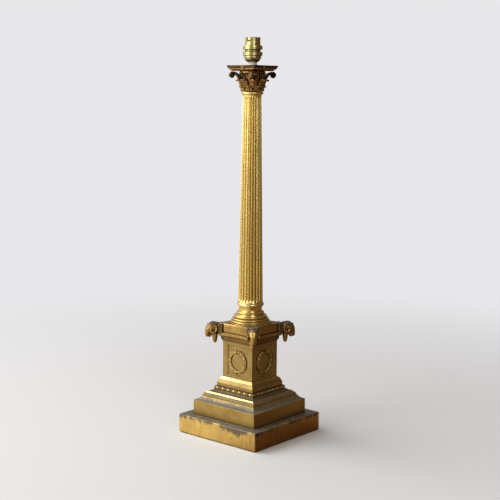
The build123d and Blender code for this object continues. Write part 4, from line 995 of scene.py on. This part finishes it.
def knurl(low, high, around):
    """Presses in every other stroke of a turned piece between two heights."""
    bpy.ops.object.mode_set(mode="EDIT")
    step = 360 / around
    choose(lambda point: low * mm < point.z < high * mm and hypot(point.x, point.y) > knurl_out * mm
           and round(degrees(atan2(point.y, point.x)) / step) % 2)
    bpy.ops.transform.resize(value=(1 - knurl_depth, 1 - knurl_depth, 1), center_override=(0, 0, 0))
    bpy.ops.object.mode_set(mode="OBJECT")


holder_brass = aged_and_shaded_brass("holder_brass", clouding=0.35, crevice=0.4, rub=0.0, dusty=0.0, shine=0.24,
                          bump=0.0, gold=(0.54, 0.46, 0.19), brown=(0.46, 0.36, 0.13),
                          deep=(0.07, 0.045, 0.015), rubbed=(0.90, 0.82, 0.48))
cap_strokes = 216
cap_rows = [(5.3, 655.2), (8.0, 655.2), (8.5, 655.6)] + arc((8.9, 656.0), 1.2, (14.2, 662.6), 7)
cap_rows += [(14.5, 662.9), (15.0, 663.2), (15.0, 663.8), (14.85, 664.1), (14.85, 665.6), (15.0, 665.9),
             (15.0, 666.3), (14.8, 666.5), (14.0, 666.5), (14.0, 663.9), (9.8, 663.9), (9.8, 658.5),
             (5.3, 658.5)]
turned(cap_rows, cap_strokes)
knurl(663.9, 665.8, cap_strokes)
finished("holder_cap_turned", holder_brass, 30, "holder_cap")

# ------------------------------------------------------------------ lampholder: barrel
# A brass tube, threaded outside for the shade rings, with a plain skirt above. Two bayonet slots
# are cut in the skirt: down from the rim, across and a little up again to hold the bulb's pins.
thread_low, thread_pitch, thread_turns = 667.4, 1.0, 16
thread_root, thread_crest = 13.45, 13.78
barrel_rows = [(12.3, 663.9), (13.75, 663.9), (13.75, 667.0)]
for k in range(thread_turns):
    z = thread_low + thread_pitch * k
    barrel_rows += [(thread_root, z), (thread_crest, z + 0.25 * thread_pitch),
                    (thread_crest, z + 0.4 * thread_pitch), (thread_root, z + 0.65 * thread_pitch)]
barrel_rows += [(13.5, 683.5), (13.3, 683.7), (13.2, 695.6), (13.3, 696.0), (13.3, 697.1), (12.9, 697.5),
                (11.7, 697.5), (11.3, 697.1), (11.25, 683.6), (12.3, 683.5)]
turned(barrel_rows)
barrel = bpy.context.object
slot_wide, slot_deep, slot_leg, slot_catch, barrel_top = 2.8, 7.6, 5.2, 1.3, 697.5
skirt_middle, slot_through, over = 12.4, 8, 2
low = barrel_top - slot_deep
cuts = ((0, low + (slot_deep + over) / 2, slot_wide, slot_deep + over),
        (slot_leg / 2, low + slot_wide / 2, slot_leg + slot_wide, slot_wide),
        (slot_leg, low + (slot_wide + slot_catch) / 2, slot_wide, slot_wide + slot_catch))
for side in (1, -1):
    for x, z, wide, high in cuts:
        place = (-side * x * mm, side * skirt_middle * mm, z * mm)
        bpy.ops.object.select_all(action="DESELECT")
        bpy.ops.mesh.primitive_cube_add(size=mm, location=place, scale=(wide, slot_through, high))
        cutter = bpy.context.object
        modified(barrel, "BOOLEAN", operation="DIFFERENCE", object=cutter)
        bpy.data.objects.remove(cutter)
take(barrel)
finished("holder_barrel_turned", holder_brass, 30, "holder_barrel")

# ------------------------------------------------------------------ lampholder: contacts
# A brown moulded block clamped inside the barrel, with two brass sleeves through it, their sprung
# plungers and the terminal screws for the flex.
dress(plain_finish("brown_moulding", (0.09, 0.035, 0.018), (0.05, 0.02, 0.012), 0.35, 0.0, 90.0, 0.1),
      "contact_block")
dress(plain_finish("contact_brass", (0.62, 0.45, 0.16), (0.45, 0.30, 0.09), 0.28, 1.0, 500.0, 0.1),
      "contact_sleeves", "contact_plunger_left", "contact_plunger_right", "terminal_screws")
dress(plain_finish("spring_steel", (0.45, 0.44, 0.42), (0.30, 0.29, 0.28), 0.3, 1.0),
      "contact_spring_left", "contact_spring_right")

# ------------------------------------------------------------------ shade rings
# Two knurled brass rings that screw up and down the barrel's thread to grip a shade's carrier
# between them. The upper one has a short neck.
ring_strokes = 240
turned([(13.95, 666.7), (16.6, 666.7), (17.2, 667.2), (17.2, 668.4), (16.9, 668.8), (16.9, 670.6),
        (17.2, 671.0), (17.2, 672.2), (16.6, 672.7), (13.95, 672.7)], ring_strokes)
knurl(668.6, 670.8, ring_strokes)
finished("lower_shade_ring_turned", holder_brass, 30, "lower_shade_ring", body="lower_ring")
turned([(13.95, 677.0), (16.6, 677.0), (17.15, 677.4), (17.15, 678.1), (16.9, 678.4), (16.9, 679.8),
        (17.15, 680.1), (17.15, 680.5), (16.6, 680.9), (16.5, 683.2), (16.1, 683.7), (13.95, 683.7)],
       ring_strokes)
knurl(678.2, 680.0, ring_strokes)
finished("upper_shade_ring_turned", holder_brass, 30, "upper_shade_ring", body="upper_ring")
